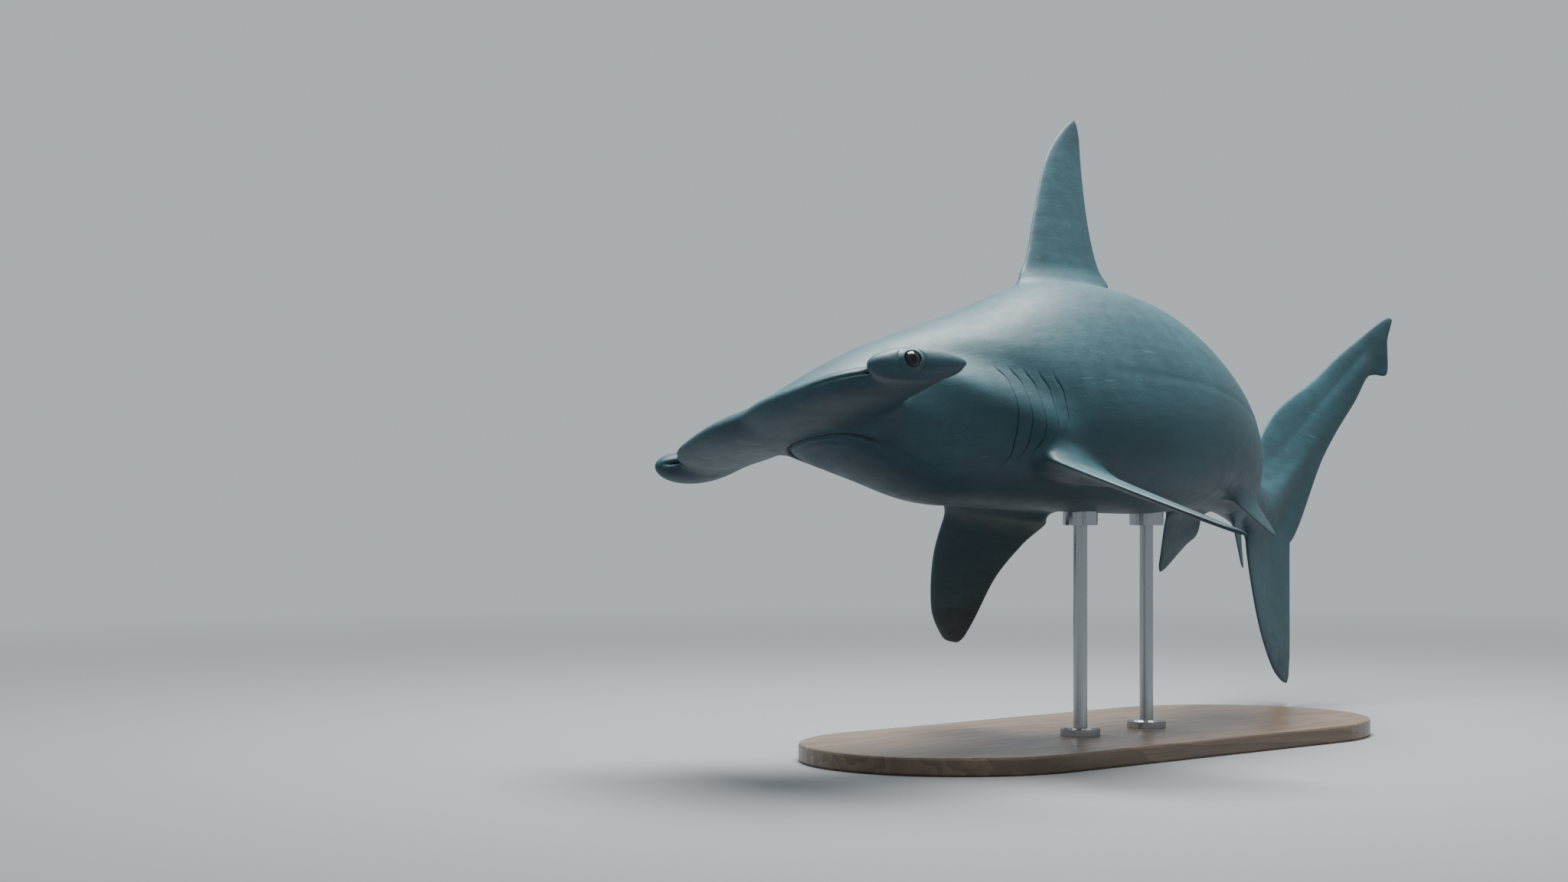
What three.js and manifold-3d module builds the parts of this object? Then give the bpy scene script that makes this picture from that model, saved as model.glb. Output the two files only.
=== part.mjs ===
// Scalloped hammerhead shark, life size, held by a plain display stand.
// Millimetres, +Z up. The shark swims towards -X, banked with its left side up,
// and its tail swings to its right. The origin is the middle of the base's underside.
//
// Each form is first shaped on a straight body, where x runs back from the snout,
// y to the shark's right and z up, and is then carried onto the bent body line.

import * as THREE from "three";
import { mergeVertices } from "three/addons/utils/BufferGeometryUtils.js";
import Module from "manifold-3d";

const wasm = await Module();
wasm.setup();

// Driving sizes
const BODY_LENGTH = 2500;
const GAP = 0.3;
const pct = (value) => (value * BODY_LENGTH) / 100;

// Place and attitude of the trunk on the stand
const TRUNK_ANCHOR = pct(30);
const ANCHOR_PLACE = new THREE.Vector3(-150, -60, 580);
const TRUNK_BANK = -15.6;
const TRUNK_PITCH = 0.9;

// Bend of the body line: turns in degrees at stations in % of body length
const LINE_STATIONS = [0, 12, 30, 50, 64, 73, 85, 102];
const LINE_YAW = [-7.3, -3.8, 0, 24.5, 33, 19, 5, -2.8];
const LINE_PITCH = [-2.7, -1.9, 0, 3.9, 4.8, 5, 7.4, 7.4];
const LINE_ROLL = [-0.3, -0.2, 0, 2, 3.2, 7, 11.5, 11.5];
const LINE_STEP = pct(0.5);

// Trunk in % of body length: station, back, belly and side from the body line,
// and how far the section's middle rises where the spine runs up into the tail fin
const TRUNK = {
  station: [3, 6, 10, 15, 20, 28, 38, 48, 58, 66, 73.5, 79, 85, 90],
  back: [1.1, 2.3, 3.8, 5.2, 6.45, 8.75, 8.5, 6.1, 4.1, 2.8, 2.1, 1.7, 1.1, 0.5],
  belly: [0.9, 1.9, 3.7, 5.75, 6.3, 6.75, 6.75, 5.3, 3.8, 2.6, 2.0, 1.6, 1.1, 0.5],
  side: [3.6, 4.5, 4.7, 5.1, 5.6, 6.0, 5.6, 4.55, 2.95, 1.9, 1.3, 0.9, 0.5, 0.25],
  rise: [0, 0, 0, 0, 0, 0, 0, 0, 0, 0, 0.2, 3.6, 9.4, 14.6],
};
const SIDE_POWER = 0.95;
const BACK_POWER = 1.05;
const BELLY_POWER = 0.92;
const TRUNK_SIDES = 28;
const TRUNK_RING_STEP = pct(2.2);

// Gill flaps, each a low step whose free edge looks back
const GILL_COUNT = 5;
const FIRST_GILL = pct(18.4);
const GILL_SPACING = pct(1.15);
const GILL_FLAP_LENGTH = pct(0.9);
const GILL_FLAP_RISE = 4;
const GILL_SLIT_DEPTH = 5;
const GILL_SLIT_WIDTH = 7;
const GILL_STEP = 1.5;
const GILL_TOP_ANGLE = 3;
const GILL_BOTTOM_ANGLE = -38;
const GILL_FADE_ANGLE = 14;
const GILL_BOW = pct(0.5);

// Hammer: margins in % of body length over the fraction of the half span
const HAMMER_SPAN = pct(25.6);
const HAMMER_FRONT = {
  at: [0, 0.2, 0.45, 0.68, 0.79, 0.85, 0.92, 0.975, 1],
  x: [1.1, 0.65, 1.1, 2.25, 3.4, 2.6, 2.75, 4.1, 6.1],
};
const HAMMER_REAR = {
  at: [0, 0.22, 0.34, 0.45, 0.6, 0.8, 0.94, 0.985, 1],
  x: [14.2, 12.6, 10.8, 9.9, 9.6, 9.4, 9.1, 8.5, 7.4],
};
const HAMMER_THICKNESS = {
  at: [0, 0.2, 0.4, 0.6, 0.78, 0.87, 0.95, 0.985, 1],
  t: [2.9, 2.6, 2.1, 1.9, 1.6, 2.1, 1.9, 1.2, 0.3],
};
const HAMMER_TIP_RISE = pct(0.2);
const HAMMER_DROP = pct(-0.23);
const HAMMER_TILT = 4.5;
const HAMMER_TILT_AXIS = pct(5);
const HAMMER_STATIONS = 34;
const HAMMER_CHORD_POINTS = 10;

// Eyes at the ends of the hammer
const EYE_RADIUS = 17;
const EYE_SIDES = 16;
const EYE_RINGS = 10;
const EYE_AT = { x: pct(4.8), span: 0.95 };
const EYE_FORWARD = 14;
const ORBIT_RADII = [27, 22, 23];
const ORBIT_INSET = 7;
const LID_RADIUS = 16;
const LID_THICKNESS = 3.2;
const LID_OUT = 8;

// Mouth, nostrils and the groove that runs in from each nostril
const MOUTH_FRONT = pct(5.2);
const MOUTH_LENGTH = pct(3.3);
const MOUTH_HALF_WIDTH = pct(2.9);
const MOUTH_GROOVE = { width: 7, depth: 9 };
const LIP = { offset: 7, width: 9, height: 3 };
const MOUTH_STEPS = 16;
const NOSTRIL = { span: 0.79, length: 30, height: 7, depth: 26 };
const NOSTRIL_GROOVE = { from: 0.5, to: 0.77, radius: 3, steps: 10 };

// Fins: margins from root to tip in % of body length, in the fin's own plane
const FIN_EDGE = 0.9;
const DORSAL_FIRST = {
  start: 27.4,
  sunk: 1.0,
  front: [[-0.9, 0], [0.6, 1.4], [2.0, 3.4], [3.5, 6.4], [5.9, 10.6], [9.2, 13.8]],
  rear: [[8.2, -0.4], [10.6, 0.8], [9.3, 2.6], [9.0, 5.4], [9.35, 9.4], [10.1, 13.6]],
  thickness: 1.6,
  rows: 16,
  columns: 8,
};
const DORSAL_SECOND = {
  start: 60.5,
  sunk: 0.6,
  front: [[0, 0], [1.3, 1.8], [2.7, 3.1]],
  rear: [[4.0, -0.3], [8.5, 0.1], [3.3, 3.0]],
  thickness: 0.6,
  rows: 8,
  columns: 6,
};
const ANAL = {
  start: 58.3,
  sunk: 0.6,
  front: [[0, 0], [1.4, 2.3], [3.2, 4.6]],
  rear: [[6.0, -0.3], [8.2, 0.95], [5.2, 4.5]],
  thickness: 0.6,
  rows: 8,
  columns: 6,
};
const PECTORAL = {
  root: [21.5, 4.0, -4.0],
  front: [[0, -1.5], [0.5, 1.0], [1.6, 6.5], [3.8, 11.6], [6.1, 14.2], [7.4, 14.7]],
  rear: [[6.0, -1.5], [8.6, 1.2], [7.8, 4.5], [7.4, 8.0], [8.0, 12.4], [8.2, 14.5]],
  thickness: 1.2,
  rows: 16,
  columns: 8,
};
const PECTORAL_POSE = {
  left: { droop: -31.5, sweep: -19.5, pitch: 14 },
  right: { droop: -25.9, sweep: 9.1, pitch: 19 },
};
const PELVIC = {
  root: [46.8, 1.4, -3.57],
  front: [[-0.5, -1.2], [0, 2.3], [3.0, 5.9]],
  rear: [[7.2, -1.2], [10.5, 0.9], [7.9, 2.8], [4.2, 5.8]],
  thickness: 0.7,
  rows: 9,
  columns: 6,
};
const PELVIC_POSE = {
  left: { droop: -62.4, sweep: 15.3, pitch: -4.5 },
  right: { droop: -60.6, sweep: -4.5, pitch: -1.5 },
};
const TAIL_START = 71.5;
const TAIL_UPPER = {
  front: [[-0.4, 2], [5.1, 7.8], [11, 11.75], [14.6, 14.6], [17.6, 16.7], [19.8, 18.2], [21.2, 19], [22, 19.2]],
  rear: [[1, -1.8], [8, -2], [13.3, 6.2], [17.3, 11.2], [19.2, 13.7], [21.6, 14.3], [21.4, 16.8], [22, 18.9]],
  thickness: 1.4,
  rows: 22,
  columns: 7,
};
const TAIL_LOWER = {
  front: [[-2, -1.2], [-2.4, -5.2], [-0.5, -9.5], [3.1, -12.6], [6.5, -13.7]],
  rear: [[8.4, 2.2], [8.0, -2.2], [7.9, -7], [7.8, -11], [7.4, -13.3]],
  thickness: 1.2,
  rows: 14,
  columns: 7,
};

// Cuts between the body's parts, in % of body length
const BODY_CUTS = [13.5, 24.5, 40, 57, 70];
const BODY_NODES = ["head", "gill_region", "trunk_front", "trunk_rear", "tail_stem"];
const CUT_REACH = 300;
const TAIL_SPLIT = { from: 69, to: 86, height: -1.2, steps: 16, reach: 60 };

// Display stand
const BASE = { length: 1240, width: 520, thickness: 30, bevel: 4 };
const ROD_RADIUS = 12;
const ROD_SIDES = 24;
const COLLAR = { radius: 34, height: 14, bevel: 3 };
const SADDLE = { radius: 30, height: 46 };
const ROD_STATIONS = { front: pct(31.5), rear: pct(39.5) };

const SKIN = { color: 0x4f5a5c, roughness: 0.55, metalness: 0 };
const FIN_SKIN = { color: 0x465154, roughness: 0.55, metalness: 0 };
const EYE = { color: 0x101416, roughness: 0.08, metalness: 0 };
const WOOD = { color: 0x9c7b58, roughness: 0.5, metalness: 0 };
const STEEL = { color: 0xb4b7b9, roughness: 0.3, metalness: 1 };

// Smooth curve through the given stations
function curveAt(stations, values, x) {
  const last = stations.length - 1;
  const at = Math.min(Math.max(x, stations[0]), stations[last]);
  let i = 0;
  while (i < last - 1 && at >= stations[i + 1]) i += 1;
  const slope = (k) => (values[k + 1] - values[k]) / (stations[k + 1] - stations[k]);
  const tangent = (k) => {
    if (k === 0) return slope(0);
    if (k === last) return slope(last - 1);
    const before = stations[k] - stations[k - 1];
    const after = stations[k + 1] - stations[k];
    return (slope(k) * before + slope(k - 1) * after) / (before + after);
  };
  const h = stations[i + 1] - stations[i];
  const t = (at - stations[i]) / h;
  const rest = 1 - t;
  return (
    (1 + 2 * t) * rest * rest * values[i] +
    t * rest * rest * h * tangent(i) +
    t * t * (3 - 2 * t) * values[i + 1] +
    t * t * (t - 1) * h * tangent(i + 1)
  );
}

const radians = (degrees) => (degrees * Math.PI) / 180;

function smoothStep(from, to, value) {
  const t = Math.min(Math.max((value - from) / (to - from), 0), 1);
  return t * t * (3 - 2 * t);
}

function turn(yaw, pitch, roll) {
  const matrix = new THREE.Matrix4().makeRotationZ(radians(yaw));
  matrix.multiply(new THREE.Matrix4().makeRotationY(radians(pitch)));
  return matrix.multiply(new THREE.Matrix4().makeRotationX(radians(roll)));
}

// Body line: a frame at every step, with its three axes and its place
function bodyLine() {
  const attitude = turn(0, TRUNK_PITCH, TRUNK_BANK);
  const count = Math.round(pct(102) / LINE_STEP);
  const frames = [];
  const place = new THREE.Vector3();
  for (let i = 0; i <= count; i += 1) {
    const at = (100 * i * LINE_STEP) / BODY_LENGTH;
    const yaw = curveAt(LINE_STATIONS, LINE_YAW, at);
    const pitch = curveAt(LINE_STATIONS, LINE_PITCH, at);
    const roll = curveAt(LINE_STATIONS, LINE_ROLL, at);
    const axes = [new THREE.Vector3(), new THREE.Vector3(), new THREE.Vector3()];
    attitude.clone().multiply(turn(yaw, pitch, roll)).extractBasis(...axes);
    if (i > 0) {
      const middle = frames[i - 1].axes[0].clone().add(axes[0]);
      place.addScaledVector(middle, LINE_STEP / 2);
    }
    frames.push({ axes, place: place.clone() });
  }
  const anchor = frames[Math.round(TRUNK_ANCHOR / LINE_STEP)].place.clone();
  for (const frame of frames) frame.place.sub(anchor).add(ANCHOR_PLACE);
  return frames;
}

const LINE = bodyLine();

// Carry a point of the straight body onto the bent body line
function carry([x, y, z]) {
  const i = Math.min(Math.max(Math.floor(x / LINE_STEP), 0), LINE.length - 2);
  const t = x / LINE_STEP - i;
  const place = LINE[i].place.clone().lerp(LINE[i + 1].place, t);
  const across = LINE[i].axes[1].clone().lerp(LINE[i + 1].axes[1], t);
  const up = LINE[i].axes[2].clone().lerp(LINE[i + 1].axes[2], t);
  return place.addScaledVector(across, y).addScaledVector(up, z).toArray();
}

// Closed solids from points and triangles
function signedVolume(points, triangles) {
  let sum = 0;
  for (const [a, b, c] of triangles) {
    const p = points[a];
    const q = points[b];
    const r = points[c];
    sum += p[0] * (q[1] * r[2] - q[2] * r[1]);
    sum += p[1] * (q[2] * r[0] - q[0] * r[2]);
    sum += p[2] * (q[0] * r[1] - q[1] * r[0]);
  }
  return sum;
}

function solid(points, triangles) {
  const outward = signedVolume(points, triangles) > 0;
  const turned = outward ? triangles : triangles.map(([a, b, c]) => [a, c, b]);
  return new wasm.Manifold(
    new wasm.Mesh({
      numProp: 3,
      vertProperties: new Float32Array(points.flat()),
      triVerts: new Uint32Array(turned.flat()),
    }),
  );
}

function carriedSolid(points, triangles) {
  return solid(points.map(carry), triangles);
}

// Loft through rings with the same number of points, closed by a fan at each end
function loftTriangles(ringCount, size) {
  const triangles = [];
  for (let i = 0; i < ringCount - 1; i += 1) {
    for (let j = 0; j < size; j += 1) {
      const a = i * size + j;
      const b = i * size + ((j + 1) % size);
      triangles.push([a, a + size, b + size], [a, b + size, b]);
    }
  }
  const end = (ringCount - 1) * size;
  for (let j = 1; j < size - 1; j += 1) {
    triangles.push([0, j, j + 1], [end, end + j + 1, end + j]);
  }
  return triangles;
}

// Flat loft for fins: both faces of a ring are split along the same diagonals
function finTriangles(rowCount, columns) {
  const size = 2 * columns - 2;
  const lower = (j) => (j === 0 || j === columns - 1 ? j : size - j);
  const triangles = [];
  for (let i = 0; i < rowCount - 1; i += 1) {
    for (let j = 0; j < columns - 1; j += 1) {
      const [a, b] = [i * size + j, i * size + j + 1];
      const [c, d] = [i * size + lower(j), i * size + lower(j + 1)];
      triangles.push([a, a + size, b + size], [a, b + size, b]);
      triangles.push([c, d + size, c + size], [c, d, d + size]);
    }
  }
  const end = (rowCount - 1) * size;
  for (let j = 0; j < columns - 1; j += 1) {
    const [a, b, c, d] = [j, j + 1, lower(j), lower(j + 1)];
    if (a !== c) {
      triangles.push([a, b, c]);
      triangles.push([end + a, end + c, end + b]);
    }
    if (b !== d) {
      triangles.push([b, d, c]);
      triangles.push([end + b, end + c, end + d]);
    }
  }
  return triangles;
}

// Trunk with its gill flaps
function gillWindow(degrees) {
  const below = smoothStep(GILL_BOTTOM_ANGLE - GILL_FADE_ANGLE, GILL_BOTTOM_ANGLE, degrees);
  const above = smoothStep(GILL_TOP_ANGLE, GILL_TOP_ANGLE + GILL_FADE_ANGLE, degrees);
  return below * (1 - above);
}

function flankAngle(angle) {
  return (Math.atan2(Math.sin(angle), Math.abs(Math.cos(angle))) * 180) / Math.PI;
}

function gillProfile(x) {
  for (let i = 0; i < GILL_COUNT; i += 1) {
    const from = x - (FIRST_GILL + i * GILL_SPACING);
    if (from > -GILL_FLAP_LENGTH && from <= 0) return GILL_FLAP_RISE * (1 + from / GILL_FLAP_LENGTH);
    if (from > 0 && from < GILL_SLIT_WIDTH) return -GILL_SLIT_DEPTH * (1 - from / GILL_SLIT_WIDTH);
  }
  return 0;
}

function trunkPoint(x, angle, grow) {
  const at = (100 * x) / BODY_LENGTH;
  const window = gillWindow(flankAngle(angle));
  const out = grow + window * gillProfile(x);
  const c = Math.cos(angle);
  const s = Math.sin(angle);
  const side = pct(curveAt(TRUNK.station, TRUNK.side, at)) + out;
  const y = side * Math.sign(c) * Math.abs(c) ** SIDE_POWER;
  const back = (pct(curveAt(TRUNK.station, TRUNK.back, at)) + out) * Math.abs(s) ** BACK_POWER;
  const belly = (pct(curveAt(TRUNK.station, TRUNK.belly, at)) + out) * Math.abs(s) ** BELLY_POWER;
  const rise = pct(curveAt(TRUNK.station, TRUNK.rise, at));
  return [x + GILL_BOW * window * gillZone(x), y, rise + (s > 0 ? back : -belly)];
}

function gillZone(x) {
  const last = FIRST_GILL + (GILL_COUNT - 1) * GILL_SPACING;
  const before = smoothStep(FIRST_GILL - pct(3), FIRST_GILL - GILL_FLAP_LENGTH, x);
  return before * (1 - smoothStep(last + GILL_SLIT_WIDTH, last + pct(3), x));
}

function trunkRingPlaces() {
  const places = [];
  const first = pct(TRUNK.station[0]);
  const last = pct(TRUNK.station[TRUNK.station.length - 1]);
  const steps = Math.round((last - first) / TRUNK_RING_STEP);
  for (let i = 0; i <= steps; i += 1) places.push(first + ((last - first) * i) / steps);
  for (let i = 0; i < GILL_COUNT; i += 1) {
    const edge = FIRST_GILL + i * GILL_SPACING;
    places.push(edge - GILL_FLAP_LENGTH + 0.5, edge, edge + GILL_STEP, edge + GILL_SLIT_WIDTH);
  }
  const spaced = places.sort((a, b) => a - b);
  return spaced.filter((x, i) => i === 0 || x - spaced[i - 1] > 1);
}

function trunkSolid(grow = 0) {
  const points = [];
  const places = trunkRingPlaces();
  for (const x of places) {
    for (let j = 0; j < TRUNK_SIDES; j += 1) {
      points.push(trunkPoint(x, (2 * Math.PI * j) / TRUNK_SIDES, grow));
    }
  }
  return carriedSolid(points, loftTriangles(places.length, TRUNK_SIDES));
}

// Hammer-shaped head, a thick wing with the eyes at its ends
function foil(c) {
  return (1.55 * Math.sqrt(c) * (1 - c) ** 0.75 + 0.06 * c) / 0.73;
}

function tilted([x, y, z]) {
  const a = radians(HAMMER_TILT);
  const along = x - HAMMER_TILT_AXIS;
  return [HAMMER_TILT_AXIS + along * Math.cos(a) + z * Math.sin(a), y, z * Math.cos(a) - along * Math.sin(a)];
}

function hammerPoint(span, chord, face) {
  const a = Math.abs(span);
  const front = pct(curveAt(HAMMER_FRONT.at, HAMMER_FRONT.x, a));
  const rear = pct(curveAt(HAMMER_REAR.at, HAMMER_REAR.x, a));
  const thickness = pct(curveAt(HAMMER_THICKNESS.at, HAMMER_THICKNESS.t, a));
  const middle = HAMMER_DROP + HAMMER_TIP_RISE * a * a;
  const x = front + (rear - front) * chord;
  return tilted([x, (span * HAMMER_SPAN) / 2, middle + (face * thickness * foil(chord)) / 2]);
}

function hammerSolid() {
  const points = [];
  const chordAt = (j) => (j / (HAMMER_CHORD_POINTS - 1)) ** 1.3;
  for (let i = 0; i <= HAMMER_STATIONS; i += 1) {
    const span = 0.999 * Math.sin(Math.PI * (i / HAMMER_STATIONS - 0.5));
    for (let j = 0; j < HAMMER_CHORD_POINTS; j += 1) points.push(hammerPoint(span, chordAt(j), 1));
    for (let j = HAMMER_CHORD_POINTS - 2; j > 0; j -= 1) points.push(hammerPoint(span, chordAt(j), -1));
  }
  return carriedSolid(points, loftTriangles(HAMMER_STATIONS + 1, 2 * HAMMER_CHORD_POINTS - 2));
}

// Fin between a leading and a trailing margin, both drawn in the fin's own plane
function finSolid(fin, placed) {
  const size = fin.rows;
  const profile = (v) => Math.min(1.5 * Math.sqrt(v) * (1 - v) ** 0.8, 1);
  const margin = (outline, u) => {
    const stations = outline.map((_, k) => k / (outline.length - 1));
    return [0, 1].map((axis) => pct(curveAt(stations, outline.map((point) => point[axis]), u)));
  };
  const points = [];
  for (let i = 0; i < size; i += 1) {
    const u = i / (size - 1);
    const front = margin(fin.front, u);
    const rear = margin(fin.rear, u);
    const thickness = pct(fin.thickness) * (1 - 0.75 * u);
    const point = (j, face) => {
      const v = (j / (fin.columns - 1)) ** 1.2;
      const half = (thickness * profile(v)) / 2 + FIN_EDGE;
      return placed([front[0] + (rear[0] - front[0]) * v, front[1] + (rear[1] - front[1]) * v, face * half]);
    };
    for (let j = 0; j < fin.columns; j += 1) points.push(point(j, 1));
    for (let j = fin.columns - 2; j > 0; j -= 1) points.push(point(j, -1));
  }
  return carriedSolid(points, finTriangles(size, fin.columns));
}

const fromHundredths = ([x, y, z]) => [pct(x), pct(y), pct(z)];

// Fin that stands on the middle line: up = 1 for the back, -1 for the belly
function medianFin(fin, up) {
  const edge = up > 0 ? TRUNK.back : TRUNK.belly;
  const foot = pct(curveAt(TRUNK.station, edge, fin.start + 4) - fin.sunk);
  return finSolid(fin, ([x, h, s]) => [pct(fin.start) + x, s, up * (foot + h)]);
}

function tailLobe(fin) {
  return finSolid(fin, ([x, h, s]) => [pct(TAIL_START) + x, s, h]);
}

// Paired fin: swept in its own plane, pitched about its length and lowered from level
function pairedFin(fin, pose, side) {
  const root = new THREE.Vector3(...fromHundredths(fin.root));
  const sweep = new THREE.Matrix4().makeRotationZ(-radians(pose.sweep));
  const pitch = new THREE.Matrix4().makeRotationY(radians(pose.pitch));
  const droop = new THREE.Matrix4().makeRotationX(radians(pose.droop));
  const attitude = droop.multiply(pitch).multiply(sweep);
  return finSolid(fin, ([x, h, s]) => {
    const point = new THREE.Vector3(x, h, s).applyMatrix4(attitude).add(root);
    return [point.x, side * point.y, point.z];
  });
}

// Solid from a three.js shape, with each point moved by the given function
function shapeSolid(geometry, moved = (point) => point) {
  const bare = geometry.clone();
  bare.deleteAttribute("normal");
  bare.deleteAttribute("uv");
  const merged = mergeVertices(bare, 1e-4);
  const place = merged.getAttribute("position");
  const points = [];
  for (let i = 0; i < place.count; i += 1) points.push(moved([place.getX(i), place.getY(i), place.getZ(i)]));
  const triangles = [];
  for (let i = 0; i < merged.index.count; i += 3) {
    const corners = [merged.index.getX(i), merged.index.getX(i + 1), merged.index.getX(i + 2)];
    if (new Set(corners).size === 3) triangles.push(corners);
  }
  return solid(points, triangles);
}

const joined = (solids) => solids.reduce((sum, item) => sum.add(item));

function largestPiece(item) {
  return item.decompose().reduce((best, piece) => (piece.volume() > best.volume() ? piece : best));
}

// Eyes: ball, socket, orbit and lid rim, turned slightly forward
function eyeFrame(side) {
  const span = EYE_AT.span * side;
  const front = pct(curveAt(HAMMER_FRONT.at, HAMMER_FRONT.x, EYE_AT.span));
  const rear = pct(curveAt(HAMMER_REAR.at, HAMMER_REAR.x, EYE_AT.span));
  const chord = (EYE_AT.x - front) / (rear - front);
  const upper = new THREE.Vector3(...hammerPoint(span, chord, 1));
  const lower = new THREE.Vector3(...hammerPoint(span, chord, -1));
  const centre = upper.add(lower).multiplyScalar(0.5);
  const look = new THREE.Vector3(-Math.sin(radians(EYE_FORWARD)), side * Math.cos(radians(EYE_FORWARD)), 0);
  const turned = new THREE.Quaternion().setFromUnitVectors(new THREE.Vector3(0, 0, 1), look);
  return { centre, look, turned };
}

function eyeBall(side, radius) {
  const { centre } = eyeFrame(side);
  const ball = new THREE.SphereGeometry(radius, EYE_SIDES, EYE_RINGS);
  return shapeSolid(ball, ([x, y, z]) => carry([centre.x + x, centre.y + y, centre.z + z]));
}

function orbit(side) {
  const { centre, look } = eyeFrame(side);
  const ball = new THREE.SphereGeometry(1, EYE_SIDES, EYE_RINGS);
  const [a, b, c] = ORBIT_RADII;
  const middle = centre.addScaledVector(look, -ORBIT_INSET);
  return shapeSolid(ball, ([x, y, z]) => carry([middle.x + a * x, middle.y + b * y, middle.z + c * z]));
}

function lidRim(side) {
  const { centre, look, turned } = eyeFrame(side);
  const ring = new THREE.TorusGeometry(LID_RADIUS, LID_THICKNESS, 6, EYE_SIDES);
  const middle = centre.addScaledVector(look, LID_OUT);
  return shapeSolid(ring, (point) => {
    const place = new THREE.Vector3(...point).applyQuaternion(turned).add(middle);
    return carry(place.toArray());
  });
}

// Lowest skin point of the head under (x, y) on the straight body
function headUnderside(x, y) {
  const at = (100 * x) / BODY_LENGTH;
  const side = pct(curveAt(TRUNK.station, TRUNK.side, at));
  const belly = pct(curveAt(TRUNK.station, TRUNK.belly, at));
  const across = (Math.abs(y) / side) ** (1 / SIDE_POWER);
  const trunk = across < 1 ? -belly * Math.sqrt(1 - across * across) ** BELLY_POWER : 0;
  const span = (2 * y) / HAMMER_SPAN;
  const front = pct(curveAt(HAMMER_FRONT.at, HAMMER_FRONT.x, Math.abs(span)));
  const rear = pct(curveAt(HAMMER_REAR.at, HAMMER_REAR.x, Math.abs(span)));
  const chord = Math.min(Math.max((x - front) / (rear - front), 0), 1);
  return Math.min(trunk, hammerPoint(span, chord, -1)[2]);
}

// Bar with an oval section along a path on the skin: outer side, inner side and width
function skinBar(path, outward, { width, out, into }) {
  const sides = 6;
  const points = [];
  for (let i = 0; i < path.length; i += 1) {
    const before = path[Math.max(i - 1, 0)];
    const after = path[Math.min(i + 1, path.length - 1)];
    const along = after.clone().sub(before).normalize();
    const across = along.clone().cross(outward).normalize();
    for (let k = 0; k < sides; k += 1) {
      const angle = (2 * Math.PI * k) / sides + Math.PI / sides;
      const reach = Math.sin(angle) > 0 ? out : into;
      const point = path[i].clone().addScaledVector(across, (Math.cos(angle) * width) / 2);
      points.push(point.addScaledVector(outward, Math.sin(angle) * reach).toArray());
    }
  }
  return carriedSolid(points, loftTriangles(path.length, sides));
}

// Mouth: an arch under the head, with a lip on either side of its line
function mouthPath(offset) {
  const path = [];
  for (let i = 0; i <= MOUTH_STEPS; i += 1) {
    const angle = Math.PI * (i / MOUTH_STEPS - 0.5) * 0.94;
    const x = MOUTH_FRONT + offset + (MOUTH_LENGTH - offset) * (1 - Math.cos(angle));
    const y = (MOUTH_HALF_WIDTH - offset) * Math.sin(angle);
    path.push(new THREE.Vector3(x, y, headUnderside(x, y)));
  }
  return path;
}

const DOWN = new THREE.Vector3(0, 0, -1);
const AHEAD = new THREE.Vector3(-1, 0, 0);

function lips() {
  const section = { width: LIP.width, out: LIP.height, into: 2 * LIP.height };
  return [-LIP.offset, LIP.offset].map((offset) => skinBar(mouthPath(offset), DOWN, section));
}

function mouthLine() {
  const section = { width: MOUTH_GROOVE.width, out: 2 * LIP.height, into: MOUTH_GROOVE.depth };
  return skinBar(mouthPath(0), DOWN, section);
}

// Nostril slot near each eye, and the shallow groove that leads to it
function leadingEdgePath(from, to, side) {
  const path = [];
  for (let i = 0; i <= NOSTRIL_GROOVE.steps; i += 1) {
    const span = from + ((to - from) * i) / NOSTRIL_GROOVE.steps;
    path.push(new THREE.Vector3(...hammerPoint(side * span, 0, 1)));
  }
  return path;
}

function nostrils(side) {
  const radius = NOSTRIL_GROOVE.radius;
  const groove = skinBar(leadingEdgePath(NOSTRIL_GROOVE.from, NOSTRIL_GROOVE.to, side), AHEAD, {
    width: 2 * radius,
    out: 2 * radius,
    into: radius,
  });
  const half = NOSTRIL.length / HAMMER_SPAN;
  const slot = skinBar(leadingEdgePath(NOSTRIL.span - half, NOSTRIL.span + half, side), AHEAD, {
    width: NOSTRIL.height,
    out: NOSTRIL.depth / 2,
    into: NOSTRIL.depth / 2,
  });
  return [groove, slot];
}

// Thin cut across the body at one station, and the curved cut between the tail's lobes
function crossCut(station) {
  const points = [];
  for (const x of [pct(station) - GAP / 2, pct(station) + GAP / 2]) {
    for (const [y, z] of [[-1, -1], [1, -1], [1, 1], [-1, 1]]) points.push([x, y * CUT_REACH, z * CUT_REACH]);
  }
  return carriedSolid(points, loftTriangles(2, 4));
}

function lobeCut() {
  const { from, to, height, steps, reach } = TAIL_SPLIT;
  const points = [];
  for (let i = 0; i <= steps; i += 1) {
    const x = pct(from + ((to - from) * i) / steps);
    const rim = [[-1.2, 0], [-1, 1], [1, 1], [1.2, 0], [1, -1], [-1, -1]];
    for (const [y, face] of rim) points.push([x, y * reach, pct(height) + (face * GAP) / 2]);
  }
  return carriedSolid(points, finTriangles(steps + 1, 4));
}

const byPlace = (axis, sign) => (a, b) => sign * (a.boundingBox().min[axis] - b.boundingBox().min[axis]);

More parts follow.
